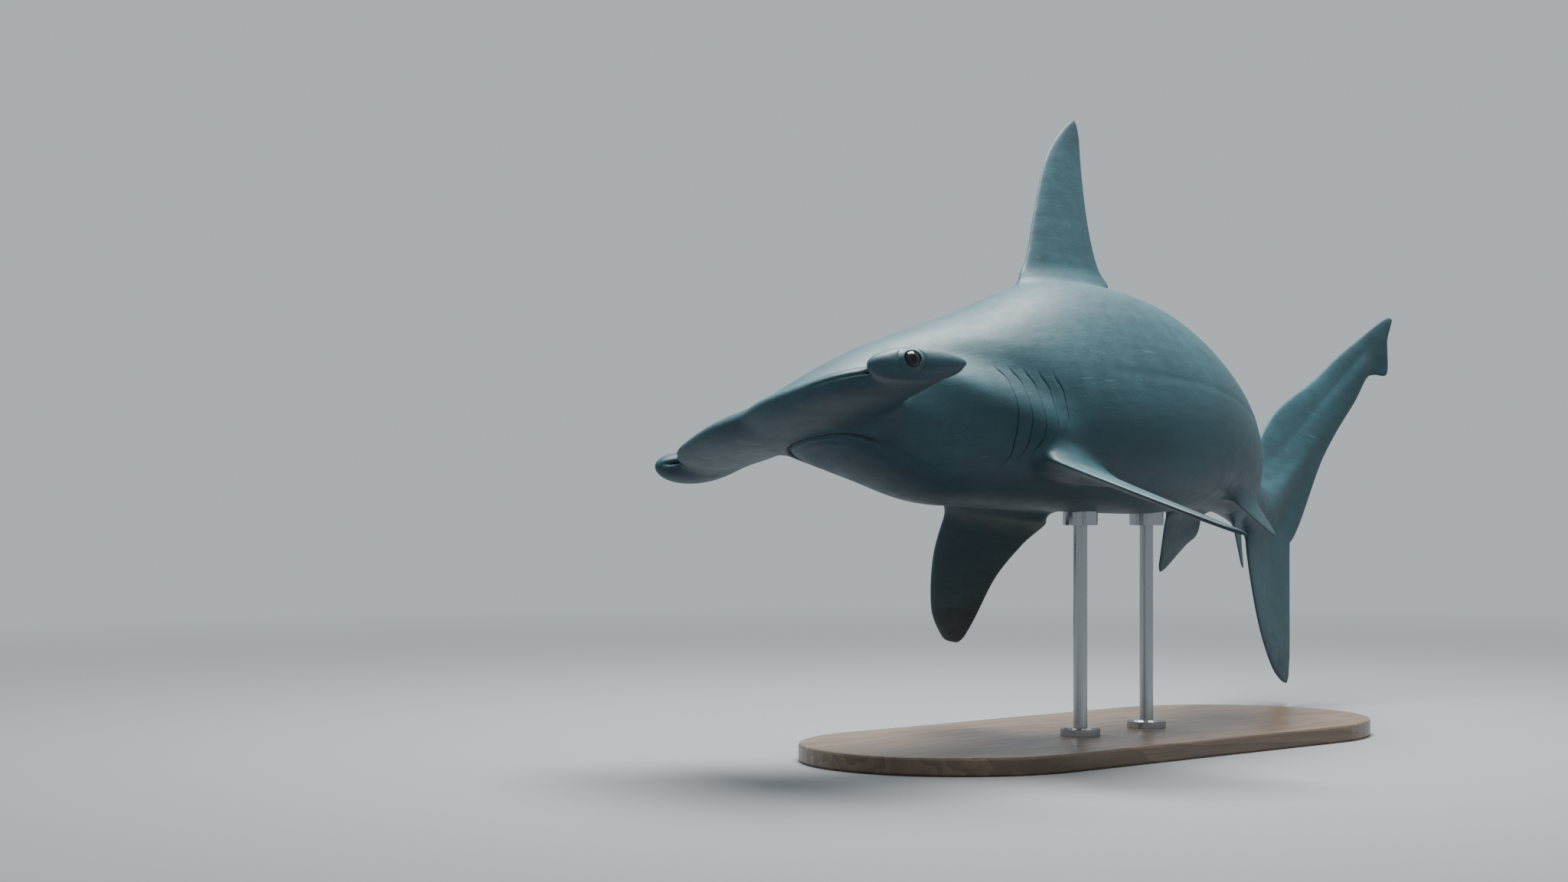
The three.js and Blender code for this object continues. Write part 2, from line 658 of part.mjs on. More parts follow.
// Body with its head and tail, parted into its named lengths
function bodyParts() {
  const sides = [-1, 1];
  const flesh = joined([
    trunkSolid(),
    hammerSolid(),
    tailLobe(TAIL_UPPER),
    tailLobe(TAIL_LOWER),
    ...sides.map(orbit),
    ...sides.map(lidRim),
    ...lips(),
  ]);
  const hollows = joined([
    mouthLine(),
    ...sides.flatMap(nostrils),
    ...sides.map((side) => eyeBall(side, EYE_RADIUS + GAP)),
  ]);
  const parted = flesh.subtract(hollows).subtract(joined(BODY_CUTS.map(crossCut)));
  const largest = parted.decompose().sort((a, b) => b.volume() - a.volume());
  const lengths = largest.slice(0, BODY_CUTS.length + 1).sort(byPlace(0, 1));
  const tail = lengths.pop().subtract(lobeCut());
  const lobes = tail.decompose().sort((a, b) => b.volume() - a.volume());
  const [upper, lower] = lobes.slice(0, 2).sort(byPlace(2, -1));
  const parts = BODY_NODES.map((name, i) => [name, lengths[i]]);
  return [...parts, ["caudal_upper_lobe", upper], ["caudal_lower_lobe", lower]];
}

// Fins, each cut clear of the trunk that it grows from
function finParts(trunk) {
  const fins = {
    dorsal_fin_first: medianFin(DORSAL_FIRST, 1),
    dorsal_fin_second: medianFin(DORSAL_SECOND, 1),
    anal_fin: medianFin(ANAL, -1),
    pectoral_fin_left: pairedFin(PECTORAL, PECTORAL_POSE.left, -1),
    pectoral_fin_right: pairedFin(PECTORAL, PECTORAL_POSE.right, 1),
    pelvic_fin_left: pairedFin(PELVIC, PELVIC_POSE.left, -1),
    pelvic_fin_right: pairedFin(PELVIC, PELVIC_POSE.right, 1),
  };
  return Object.entries(fins).map(([name, fin]) => [name, largestPiece(fin.subtract(trunk))]);
}

// Display stand
function basePlate() {
  const radius = BASE.width / 2 - BASE.bevel;
  const reach = BASE.length / 2 - BASE.width / 2;
  const outline = new THREE.Shape();
  outline.absarc(reach, 0, radius, -Math.PI / 2, Math.PI / 2);
  outline.absarc(-reach, 0, radius, Math.PI / 2, 1.5 * Math.PI);
  const plate = new THREE.ExtrudeGeometry(outline, {
    depth: BASE.thickness - 2 * BASE.bevel,
    bevelThickness: BASE.bevel,
    bevelSize: BASE.bevel,
    bevelSegments: 2,
    curveSegments: 14,
  });
  return shapeSolid(plate.translate(0, 0, BASE.bevel));
}

function uprightBar(x, y, radius, from, to) {
  const bar = new THREE.CylinderGeometry(radius, radius, to - from, ROD_SIDES);
  bar.rotateX(Math.PI / 2).translate(x, y, (from + to) / 2);
  return shapeSolid(bar);
}

function rod(station, trunk) {
  const [x, y, z] = carry([station, 0, 0]);
  const bar = uprightBar(x, y, ROD_RADIUS, BASE.thickness + GAP, z);
  const top = bar.subtract(trunk).boundingBox().max[2];
  const saddle = uprightBar(x, y, SADDLE.radius, top - SADDLE.height / 2, z);
  return largestPiece(bar.add(saddle).subtract(trunk));
}

function collar(station) {
  const [x, y] = carry([station, 0, 0]);
  const inner = ROD_RADIUS + GAP;
  const { radius, height, bevel } = COLLAR;
  const outer = [[radius, 0], [radius, height - bevel], [radius - bevel, height]];
  const profile = [[inner, 0], ...outer, [inner, height], [inner, 0]];
  const ring = new THREE.LatheGeometry(profile.map(([r, h]) => new THREE.Vector2(r, h)), ROD_SIDES);
  ring.rotateX(Math.PI / 2).translate(x, y, BASE.thickness + GAP);
  return shapeSolid(ring);
}

function standParts(trunk) {
  const parts = [["stand_base", basePlate(), WOOD]];
  for (const [place, station] of Object.entries(ROD_STATIONS)) {
    parts.push([`stand_rod_${place}`, rod(station, trunk), STEEL]);
    parts.push([`stand_collar_${place}`, collar(station), STEEL]);
  }
  return parts;
}

// Scene
function meshOf(name, item, look) {
  const { vertProperties, triVerts } = item.getMesh();
  const geometry = new THREE.BufferGeometry();
  geometry.setAttribute("position", new THREE.BufferAttribute(vertProperties, 3));
  geometry.setIndex(new THREE.BufferAttribute(triVerts, 1));
  geometry.computeVertexNormals();
  const mesh = new THREE.Mesh(geometry, new THREE.MeshStandardMaterial(look));
  mesh.name = name;
  return mesh;
}

function shark() {
  const clearOfTrunk = trunkSolid(GAP);
  const group = new THREE.Group();
  for (const [name, item] of bodyParts()) group.add(meshOf(name, item, SKIN));
  for (const [name, item] of finParts(clearOfTrunk)) group.add(meshOf(name, item, FIN_SKIN));
  group.add(meshOf("eye_left", eyeBall(-1, EYE_RADIUS), EYE));
  group.add(meshOf("eye_right", eyeBall(1, EYE_RADIUS), EYE));
  for (const [name, item, look] of standParts(clearOfTrunk)) group.add(meshOf(name, item, look));
  return group;
}

export default shark();
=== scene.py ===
"""Life-size scalloped hammerhead shark, banked in mid-swim on a plain display stand.

The skin is first shaped on a straight body in metres, where x runs back from the snout,
y to the shark's right and z up. It is then carried onto the same bent body line as the frame.
"""

import bmesh
import bpy
import numpy as np
from mathutils import Matrix, Vector
from mathutils.bvhtree import BVHTree


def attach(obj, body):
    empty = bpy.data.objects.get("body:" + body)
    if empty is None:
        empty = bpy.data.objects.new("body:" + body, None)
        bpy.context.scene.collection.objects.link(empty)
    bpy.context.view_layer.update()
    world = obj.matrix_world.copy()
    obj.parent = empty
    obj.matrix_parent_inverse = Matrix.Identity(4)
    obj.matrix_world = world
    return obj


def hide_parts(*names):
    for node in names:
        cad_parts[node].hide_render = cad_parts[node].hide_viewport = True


# Driving sizes
BODY_LENGTH = 2.5


def pct(value):
    """Length from a percentage of the body length."""
    return np.asarray(value, float) * BODY_LENGTH / 100


# Place and attitude of the trunk on the stand
TRUNK_ANCHOR = pct(30)
ANCHOR_PLACE = np.array([-0.150, -0.060, 0.580])
TRUNK_BANK = -15.6
TRUNK_PITCH = 0.9

# Bend of the body line: turns in degrees at stations in % of body length
LINE_STATIONS = [0, 12, 30, 50, 64, 73, 85, 102]
LINE_YAW = [-7.3, -3.8, 0, 24.5, 33, 19, 5, -2.8]
LINE_PITCH = [-2.7, -1.9, 0, 3.9, 4.8, 5, 7.4, 7.4]
LINE_ROLL = [-0.3, -0.2, 0, 2, 3.2, 7, 11.5, 11.5]
LINE_STEP = pct(0.5)
LINE_END = 102

# Trunk in % of body length: station, back, belly and side from the body line,
# and how far the section's middle rises where the spine runs up into the tail fin
STATION = [3, 6, 10, 15, 20, 28, 38, 48, 58, 66, 73.5, 79, 85, 90]
BACK = [1.1, 2.3, 3.8, 5.2, 6.45, 8.75, 8.5, 6.1, 4.1, 2.8, 2.1, 1.7, 1.1, 0.5]
BELLY = [0.9, 1.9, 3.7, 5.75, 6.3, 6.75, 6.75, 5.3, 3.8, 2.6, 2.0, 1.6, 1.1, 0.5]
SIDE = [3.6, 4.5, 4.7, 5.1, 5.6, 6.0, 5.6, 4.55, 2.95, 1.9, 1.3, 0.9, 0.5, 0.25]
RISE = [0, 0, 0, 0, 0, 0, 0, 0, 0, 0, 0.2, 3.6, 9.4, 14.6]
SIDE_POWER = 0.95
BACK_POWER = 1.05
BELLY_POWER = 0.92
TRUNK_SIDES = 160
TRUNK_EDGE = (1.03, 1.35)
TRUNK_RING_STEP = 0.006

# Gill flaps
GILL_COUNT = 5
FIRST_GILL = pct(18.4)
GILL_SPACING = pct(1.15)
GILL_FLAP_LENGTH = pct(0.9)
GILL_FLAP_RISE = 0.003
GILL_FLAP_POWER = 1.6
GILL_SLIT_DEPTH = 0.0045
GILL_SLIT_WIDTH = 0.008
GILL_LIP = 0.0025
GILL_OVERHANG = 0.002
GILL_TOP_ANGLE = 3
GILL_BOTTOM_ANGLE = -38
GILL_FADE_ANGLE = 14
GILL_STEP_DOWN = 2
GILL_STEP_UP = 5
GILL_BOW = pct(0.5)

# Hammer: margins in % of body length over the fraction of the half span
HAMMER_SPAN = pct(25.6)
HAMMER_FRONT_AT = [0, 0.2, 0.45, 0.68, 0.79, 0.85, 0.92, 0.975, 1]
HAMMER_FRONT = [1.1, 0.65, 1.1, 2.25, 3.4, 2.6, 2.75, 4.1, 6.1]
HAMMER_REAR_AT = [0, 0.22, 0.34, 0.45, 0.6, 0.8, 0.94, 0.985, 1]
HAMMER_REAR = [14.2, 12.6, 10.8, 9.9, 9.6, 9.4, 9.1, 8.5, 7.4]
HAMMER_THICK_AT = [0, 0.2, 0.4, 0.6, 0.78, 0.87, 0.95, 0.985, 1]
HAMMER_THICK = [2.9, 2.6, 2.1, 1.9, 1.6, 2.1, 1.9, 1.2, 0.3]
HAMMER_TIP_RISE = pct(0.2)
HAMMER_DROP = pct(-0.23)
HAMMER_TILT = 4.5
HAMMER_TILT_AXIS = pct(5)
HAMMER_STATIONS = 240
HAMMER_CHORD_POINTS = 56
HAMMER_CHORD_POWER = 1.3
HAMMER_TIP = 0.999

# Eyes at the ends of the hammer
EYE_RADIUS = 0.017
EYE_BULGE = 0.05
EYE_RINGS = 72
EYE_SIDES = 96
EYE_X = pct(4.8)
EYE_SPAN = 0.95
EYE_FORWARD = 14
ORBIT_RADII = np.array([0.027, 0.022, 0.023])
ORBIT_INSET = 0.007
ORBIT_RINGS = 40
ORBIT_SIDES = 60
POLE_ANGLE = 0.02
EYE_OPENING = 0.0132
EYE_FLATTENING = 1.08
LID_WIDTH = 0.0045
LID_HEIGHT = 0.0024
LID_FOLD = 0.001
EYE_SINK = 0.007

# Mouth, nostrils and the groove that runs in from each nostril
MOUTH_FRONT = pct(5.2)
MOUTH_LENGTH = pct(3.3)
MOUTH_HALF_WIDTH = pct(2.9)
MOUTH_DEPTH = 0.005
MOUTH_WIDTH = 0.003
LIP_OFFSET = 0.007
LIP_WIDTH = 0.0045
LIP_HEIGHT = 0.0013
JAW_DROP = 0.004
NOSTRIL_SPAN = 0.79
NOSTRIL_LENGTH = 0.030
NOSTRIL_TAPER = 0.8
NOSTRIL_HEIGHT = 0.0036
NOSTRIL_DEPTH = 0.009
NOSTRIL_GROOVE = (0.5, 0.77)
NOSTRIL_GROOVE_ENDS = (0.08, 0.02)
NOSTRIL_GROOVE_DEPTH = 0.0022

# Shoulder that runs from the hammer's rear corner over the gills to the pectoral fin
SHOULDER_FROM = pct(12.5)
SHOULDER_TO = pct(24)
SHOULDER_ANGLES = (14, -34)
SHOULDER_RISE = 0.010
SHOULDER_HOLLOW = 0.007
SHOULDER_WIDTH = 15
SHOULDER_GAP = 1.9 * SHOULDER_WIDTH

# Faint forms of the trunk
LATERAL_ANGLE = 6
LATERAL_WIDTH = 2.2
LATERAL_DEPTH = 0.0007
LATERAL_START = (pct(26), pct(32))
LATERAL_STOP = (pct(64), pct(70))
PIT_PLACE = pct(71.2)
PIT_LENGTH = 0.011
PIT_DEPTH = 0.005
PIT_ANGLES = (50, 75)
PIT_SHADE = 0.3

# Fins: margins from root to tip in % of body length, in the fin's own plane
FIN_EDGE = 0.0009
FIN_ROW_STEP = 0.0035
FIN_COLUMNS = 48
FIN_COLUMN_POWER = 1.2
FIN_THINNING = 0.75
FLARE_REACH = 3.2
TIP_ROUNDING = 0.93
TIP_DEPTH = 0.99
DORSAL_FIRST = {
    "start": 27.4,
    "sunk": 1.0,
    "front": [[-0.9, 0], [0.6, 1.4], [2.0, 3.4], [3.5, 6.4], [5.9, 10.6], [9.2, 13.8]],
    "rear": [[8.2, -0.4], [10.6, 0.8], [9.3, 2.6], [9.0, 5.4], [9.35, 9.4], [10.1, 13.6]],
    "thickness": 1.6,
    "flare": 0.5,
}
DORSAL_SECOND = {
    "start": 60.5,
    "sunk": 0.6,
    "front": [[0, 0], [1.3, 1.8], [2.7, 3.1]],
    "rear": [[4.0, -0.3], [8.5, 0.1], [3.3, 3.0]],
    "thickness": 0.6,
    "flare": 0.3,
}
ANAL = {
    "start": 58.3,
    "sunk": 0.6,
    "front": [[0, 0], [1.4, 2.3], [3.2, 4.6]],
    "rear": [[6.0, -0.3], [8.2, 0.95], [5.2, 4.5]],
    "thickness": 0.6,
    "flare": 0.3,
}
PECTORAL = {
    "root": [21.5, 4.0, -4.0],
    "front": [[0, -1.5], [0.5, 1.0], [1.6, 6.5], [3.8, 11.6], [6.1, 14.2], [7.4, 14.7]],
    "rear": [[6.0, -1.5], [8.6, 1.2], [7.8, 4.5], [7.4, 8.0], [8.0, 12.4], [8.2, 14.5]],
    "thickness": 1.2,
    "flare": 0.8,
}
PECTORAL_LEFT = {"droop": -31.5, "sweep": -19.5, "pitch": 14}
PECTORAL_RIGHT = {"droop": -25.9, "sweep": 9.1, "pitch": 19}
PELVIC = {
    "root": [46.8, 1.4, -3.57],
    "front": [[-0.5, -1.2], [0, 2.3], [3.0, 5.9]],
    "rear": [[7.2, -1.2], [10.5, 0.9], [7.9, 2.8], [4.2, 5.8]],
    "thickness": 0.7,
    "flare": 0.4,
}
PELVIC_LEFT = {"droop": -62.4, "sweep": 15.3, "pitch": -4.5}
PELVIC_RIGHT = {"droop": -60.6, "sweep": -4.5, "pitch": -1.5}
TAIL_START = 71.5
TAIL_UPPER = {
    "front": [
        [-0.4, 2], [5.1, 7.8], [11, 11.75], [14.6, 14.6],
        [17.6, 16.7], [19.8, 18.2], [21.2, 19], [22, 19.2],
    ],
    "rear": [
        [1, -1.8], [8, -2], [13.3, 6.2], [17.3, 11.2],
        [19.2, 13.7], [21.6, 14.3], [21.4, 16.8], [22, 18.9],
    ],
    "thickness": 1.4,
    "flare": 0.3,
}
TAIL_LOWER = {
    "front": [[-2, -1.2], [-2.4, -5.2], [-0.5, -9.5], [3.1, -12.6], [6.5, -13.7]],
    "rear": [[8.4, 2.2], [8.0, -2.2], [7.9, -7], [7.8, -11], [7.4, -13.3]],
    "thickness": 1.2,
    "flare": 0.3,
}

# Where the small forms of the head lie, on the straight body
FLANK_ENDS = (pct(14), pct(26))
FLANK_OUT = 0.06
HEAD_END = pct(13)
MOUTH_FROM = pct(3)
NOSTRIL_BEHIND = (0.010, 0.022)

# Where the fins' dusky tips are measured, in metres or % of body length
DORSAL_ENDS = (pct(26), pct(40))
DORSAL_HEIGHT = pct(13)
PAIRED_SLACK = 0.03
PAIRED_CHORD = pct(13)
PAIRED_OVERSHOOT = 1.1
UPPER_LOBE_HEIGHT = pct(19)
LOWER_LOBE_HEIGHT = pct(14)

# Fineness of the skin
SKIN_VOXEL = 0.0032
SKIN_ROUNDS = 6
SMOOTHING_PULL = 0.5
JOIN_REACH = 0.036
JOIN_FADE = 2.5
JOIN_ROUNDS = 120
NECK_REACH = 0.045
NECK_ROUNDS = 120
DETAIL_MARGINS = (0.012, 0.005)
DETAIL_ROUNDS = 6
# Painted shade of the underside: the slopes of the skin over which it comes in, and how often it is
# blurred
UNDERSIDE_SHADE_SLOPES = (0.15, -0.75)
UNDERSIDE_SHADE_ROUNDS = 12

# Colours of the skin and eyes
BACK_COLOUR = (0.021, 0.061, 0.073)
# Painted shade: the underside's colour, darker and bluer than the back where the skin faces down
UNDERSIDE_SHADE_COLOUR = (0.021, 0.051, 0.066)
DUSKY_COLOUR = (0.012, 0.025, 0.033)
# Painted shade in the gill slits, mouth cleft, nostrils, eye rims and tail pit
GROOVE_SHADE_COLOUR = (0.008, 0.013, 0.016)
SCAR_COLOUR = (0.09, 0.14, 0.155)
IRIS_COLOUR = (0.014, 0.014, 0.010)
IRIS_DARK_COLOUR = (0.007, 0.007, 0.006)
SCLERA_COLOUR = (0.006, 0.007, 0.008)
PUPIL_COLOUR = (0.002, 0.002, 0.003)

# Where the iris and the oval pupil end, as shares of the eyeball's radius
IRIS_EDGE = (0.60, 0.68)
PUPIL_EDGE = (0.33, 0.37)
PUPIL_STRETCH = 2.2

# Patterns of the skin: their fineness for each metre, and the tones and roughness they give
NOISE_ROUGHNESS = 0.55
PATCH_SCALE = 7.0
MOTTLE_SCALE = 38.0
GRAIN_SCALE = 420.0
STREAK_SCALE = (6.0, 70.0, 70.0)
SCRATCH_SCALE = (9.0, 190.0, 120.0)
FOLD_SCALE = (26.0, 60.0, 60.0)
PATCH_TONES = (0.88, 1.12)
MOTTLE_TONES = (0.93, 1.07)
STREAK_TONES = (0.93, 1.07)
GRAIN_TONES = (0.9, 1.1)
EDGE_WAVER = 0.08
SKIN_ROUGHNESS = (0.48, 0.62)

# Finishes of the stand
OAK_LIGHT_COLOUR = (0.15, 0.098, 0.060)
OAK_DARK_COLOUR = (0.100, 0.062, 0.036)
OAK_PORE_COLOUR = (0.055, 0.033, 0.019)
OAK_BEND_SCALE = (0.7, 5.0, 5.0)
OAK_RINGS = 16.0
OAK_FIBRE_SCALE = (9.0, 420.0, 420.0)
OAK_ROUGHNESS = (0.34, 0.5)
STEEL_DARK_COLOUR = (0.33, 0.34, 0.35)
STEEL_LIGHT_COLOUR = (0.37, 0.38, 0.39)
STEEL_BRUSH_SCALE = (40.0, 40.0, 700.0)
STEEL_ROUGHNESS = (0.24, 0.29)

# Studio
STUDIO_COLOUR = (0.74, 0.82, 0.88)
STUDIO_STRENGTH = 0.66
FLOOR_COLOUR = (0.185, 0.197, 0.206)
FLOOR_REACH = 80
FLOOR_FADE = (1.2, 5.0)
KEY_PLACE = (0.15, 0.25, 3.4)
KEY_TARGET = (0.05, 0, 0.5)
KEY_SIZE = (2.4, 2.0)
KEY_POWER = 480

# Camera: level, at the photograph's bearing, distance and lens
CAMERA_AZIMUTH = -44.18
CAMERA_DISTANCE = 5.3483
CAMERA_ASIDE = -0.4762
CAMERA_ABOVE = -0.0506
CAMERA_LENS = 72.70
CAMERA_SENSOR = 36
CAMERA_REACH = 200

FLESH_NODES = [
    "head", "gill_region", "trunk_front", "trunk_rear", "tail_stem",
    "caudal_upper_lobe", "caudal_lower_lobe", "dorsal_fin_first", "dorsal_fin_second", "anal_fin",
    "pectoral_fin_left", "pectoral_fin_right", "pelvic_fin_left", "pelvic_fin_right",
]


# Curves and turns

def curve_at(stations, values, x):
    """Smooth curve through the given stations, at every x."""
    s = np.asarray(stations, float)
    v = np.asarray(values, float)
    x = np.clip(x, s[0], s[-1])
    step = np.diff(s)
    slope = np.diff(v) / step
    tangent = np.empty(len(v))
    tangent[0] = slope[0]
    tangent[-1] = slope[-1]
    tangent[1:-1] = (slope[1:] * step[:-1] + slope[:-1] * step[1:]) / (step[:-1] + step[1:])
    i = np.clip(np.searchsorted(s, x, side="right") - 1, 0, len(s) - 2)
    h = step[i]
    t = (x - s[i]) / h
    r = 1 - t
    start = (1 + 2 * t) * r * r * v[i] + t * r * r * h * tangent[i]
    end = t * t * (3 - 2 * t) * v[i + 1] - t * t * r * h * tangent[i + 1]
    return start + end


def smooth_step(low, high, value):
    t = np.clip((value - low) / (high - low), 0, 1)
    return t * t * (3 - 2 * t)


def bell(distance, width):
    return np.exp(-((distance / width) ** 2))


def rotation(axis, degrees):
    """Rotation matrices about one axis, one for each angle."""
    angle = np.radians(np.atleast_1d(degrees).astype(float))
    zero = np.zeros(len(angle))
    one = np.ones(len(angle))
    c = np.cos(angle)
    s = np.sin(angle)
    rows = {
        "X": [[one, zero, zero], [zero, c, -s], [zero, s, c]],
        "Y": [[c, zero, s], [zero, one, zero], [-s, zero, c]],
        "Z": [[c, -s, zero], [s, c, zero], [zero, zero, one]],
    }
    return np.moveaxis(np.array(rows[axis]), -1, 0)


def turn(yaw, pitch, roll):
    return rotation("Z", yaw) @ rotation("Y", pitch) @ rotation("X", roll)


# Body line

def body_line():
    """Places and axes of the bent body line, one for every step."""
    count = int(round(float(pct(LINE_END) / LINE_STEP)))
    at = 100 * np.arange(count + 1) * LINE_STEP / BODY_LENGTH
    turns = [curve_at(LINE_STATIONS, values, at) for values in (LINE_YAW, LINE_PITCH, LINE_ROLL)]
    axes = turn(0, TRUNK_PITCH, TRUNK_BANK) @ turn(*turns)
    ahead = axes[:, :, 0]
    steps = (ahead[1:] + ahead[:-1]) * LINE_STEP / 2
    places = np.vstack([np.zeros(3), np.cumsum(steps, axis=0)])
    anchor = places[int(round(float(TRUNK_ANCHOR / LINE_STEP)))]
    return places - anchor + ANCHOR_PLACE, axes


LINE_PLACES, LINE_AXES = body_line()


def carry(points):
    """Carries points of the straight body onto the bent body line."""
    p = np.asarray(points, float)
    i = np.clip(np.floor(p[:, 0] / LINE_STEP).astype(int), 0, len(LINE_PLACES) - 2)
    t = (p[:, 0] / LINE_STEP - i)[:, None]
    place = LINE_PLACES[i] * (1 - t) + LINE_PLACES[i + 1] * t
    across = LINE_AXES[i, :, 1] * (1 - t) + LINE_AXES[i + 1, :, 1] * t
    up = LINE_AXES[i, :, 2] * (1 - t) + LINE_AXES[i + 1, :, 2] * t
    return place + across * p[:, 1:2] + up * p[:, 2:3]


# Meshes

def loft(rings):
    """Closed mesh through rings of equal size, as points and faces."""
    rings = np.asarray(rings, float)
    count, size = rings.shape[:2]
    index = np.arange(count * size).reshape(count, size)
    beside = np.roll(index, -1, axis=1)
    quads = np.stack([index[:-1], index[1:], beside[1:], beside[:-1]], axis=-1).reshape(-1, 4)
    faces = quads.tolist()
    faces.append(index[0].tolist())
    faces.append(index[-1][::-1].tolist())
    return rings.reshape(-1, 3), faces


def mesh_object(name, points, faces):
    mesh = bpy.data.meshes.new(name)
    mesh.from_pydata(np.asarray(points).tolist(), [], faces)
    bm = bmesh.new()
    bm.from_mesh(mesh)
    bmesh.ops.recalc_face_normals(bm, faces=bm.faces)
    if bm.calc_volume(signed=True) < 0:
        bmesh.ops.reverse_faces(bm, faces=bm.faces)
    bm.to_mesh(mesh)
    bm.free()
    obj = bpy.data.objects.new(name, mesh)
    bpy.context.scene.collection.objects.link(obj)
    return obj


def apply_modifiers(obj):
    """Replaces an object's mesh by the result of its modifiers."""
    graph = bpy.context.evaluated_depsgraph_get()
    mesh = bpy.data.meshes.new_from_object(obj.evaluated_get(graph))
    old = obj.data
    obj.modifiers.clear()
    obj.data = mesh
    bpy.data.meshes.remove(old)


def remesh_evenly(obj, size):
    remesh = obj.modifiers.new("remesh", "REMESH")
    remesh.mode = "VOXEL"
    remesh.voxel_size = size
    apply_modifiers(obj)


def unite(obj, other):
    """Joins another closed object into this one, and removes the other."""
    union = obj.modifiers.new("union", "BOOLEAN")
    union.operation = "UNION"
    union.solver = "MANIFOLD"
    union.object = other
    apply_modifiers(obj)
    remove(other)


def remove(obj):
    mesh = obj.data
    bpy.data.objects.remove(obj)
    bpy.data.meshes.remove(mesh)


def points_of(mesh):
    points = np.empty(3 * len(mesh.vertices))
    mesh.vertices.foreach_get("co", points)
    return points.reshape(-1, 3)


def normals_of(mesh):
    normals = np.empty(3 * len(mesh.vertices))
    mesh.vertex_normals.foreach_get("vector", normals)
    return normals.reshape(-1, 3)


def set_points(mesh, points):
    mesh.vertices.foreach_set("co", np.asarray(points).ravel())
    mesh.update()


def edges_of(mesh):
    edges = np.empty(2 * len(mesh.edges), int)
    mesh.edges.foreach_get("vertices", edges)
    return edges.reshape(-1, 2)


def smoothed(points, edges, weight, rounds):
    """Moves each point towards the middle of its neighbours, by its weight."""
    moving = weight > 0
    kept = edges[moving[edges[:, 0]] | moving[edges[:, 1]]]
    used, kept = np.unique(kept, return_inverse=True)
    a, b = kept.reshape(-1, 2).T
    size = len(used)
    count = np.maximum(np.bincount(a, minlength=size) + np.bincount(b, minlength=size), 1)[:, None]
    pull = SMOOTHING_PULL * weight[used][:, None]
    part = points[used]
    for _ in range(rounds):
        sums = [
            np.bincount(a, part[b, k], size) + np.bincount(b, part[a, k], size)
            for k in range(part.shape[1])
        ]
        part = part + pull * (np.stack(sums, axis=1) / count - part)
    result = points.copy()
    result[used] = part
    return result


# Trunk

def trunk_sizes(x):
    """Half width, height over and under the middle, and the middle's rise, at every x."""
    at = 100 * np.asarray(x) / BODY_LENGTH
    return [pct(curve_at(STATION, values, at)) for values in (SIDE, BACK, BELLY, RISE)]


def trunk_object():
    x = np.arange(pct(STATION[0]), pct(STATION[-1]), TRUNK_RING_STEP)[:, None]
    angle = np.linspace(0, 2 * np.pi, TRUNK_SIDES, endpoint=False)[None, :]
    side, back, belly, rise = trunk_sizes(x)
    c, s = np.cos(angle), np.sin(angle)
    y = side * np.sign(c) * np.abs(c) ** SIDE_POWER
    z = rise + np.where(s > 0, back * np.abs(s) ** BACK_POWER, -belly * np.abs(s) ** BELLY_POWER)
    rings = np.stack([np.broadcast_to(x, y.shape), y, z], axis=-1)
    return mesh_object("trunk", *loft(rings))


# Hammer

def foil(c):
    """Half thickness along the chord, blunt in front and thin behind, 1 at its thickest."""
    return (1.55 * np.sqrt(c) * (1 - c) ** 0.75 + 0.06 * c) / 0.73


def hammer_margins(span):
    """Where the leading and trailing edges lie, at a share of the half span."""
    a = np.abs(span)
    front = pct(curve_at(HAMMER_FRONT_AT, HAMMER_FRONT, a))
    rear = pct(curve_at(HAMMER_REAR_AT, HAMMER_REAR, a))
    return front, rear


def hammer_point(span, chord, face):
    """Point of the hammer's upper (face 1) or lower (face -1) side."""
    a = np.abs(span)
    front, rear = hammer_margins(span)
    thickness = pct(curve_at(HAMMER_THICK_AT, HAMMER_THICK, a))
    x = front + (rear - front) * chord
    z = HAMMER_DROP + HAMMER_TIP_RISE * a * a + face * thickness * foil(chord) / 2
    tilt = np.radians(HAMMER_TILT)
    along = x - HAMMER_TILT_AXIS
    tilted_x = HAMMER_TILT_AXIS + along * np.cos(tilt) + z * np.sin(tilt)
    tilted_z = z * np.cos(tilt) - along * np.sin(tilt)
    y = span * HAMMER_SPAN / 2 + 0 * x
    return np.stack([tilted_x, y, tilted_z], axis=-1)


def hammer_object():
    turns = np.linspace(-0.5, 0.5, HAMMER_STATIONS + 1) * np.pi
    span = HAMMER_TIP * np.sin(turns)[:, None]
    chord = np.linspace(0, 1, HAMMER_CHORD_POINTS) ** HAMMER_CHORD_POWER
    upper = hammer_point(span, chord[None, :], 1)
    lower = hammer_point(span, chord[None, -2:0:-1], -1)
    return mesh_object("hammer", *loft(np.concatenate([upper, lower], axis=1)))


def eye_frame(side):
    """Centre of the eye on the straight body, and the way that it looks."""
    span = EYE_SPAN * side
    front, rear = hammer_margins(span)
    chord = (EYE_X - front) / (rear - front)
    centre = (hammer_point(span, chord, 1) + hammer_point(span, chord, -1)) / 2
    a = np.radians(EYE_FORWARD)
    return centre, np.array([-np.sin(a), side * np.cos(a), 0])


def sphere_points(rings, sides):
    down = np.linspace(POLE_ANGLE, np.pi - POLE_ANGLE, rings)[:, None]
    around = np.linspace(0, 2 * np.pi, sides, endpoint=False)[None, :]
    wide = np.sin(down)
    flat = np.cos(down) + 0 * around
    return np.stack([wide * np.cos(around), wide * np.sin(around), flat], axis=-1)


def orbit_object(side):
    centre, look = eye_frame(side)
    rings = sphere_points(ORBIT_RINGS, ORBIT_SIDES) * ORBIT_RADII + centre - look * ORBIT_INSET
    return mesh_object("orbit", *loft(rings))


# Fins

def fin_margin(outline, u):
    """Places along and out of the root, at every share of the margin from root to tip."""
    stations = np.linspace(0, 1, len(outline))
    return [pct(curve_at(stations, [point[k] for point in outline], u)) for k in (0, 1)]


def fin_profile(v):
    """Half thickness across the fin, thickest near the leading edge."""
    return np.minimum(1.5 * np.sqrt(v) * (1 - v) ** 0.8, 1)


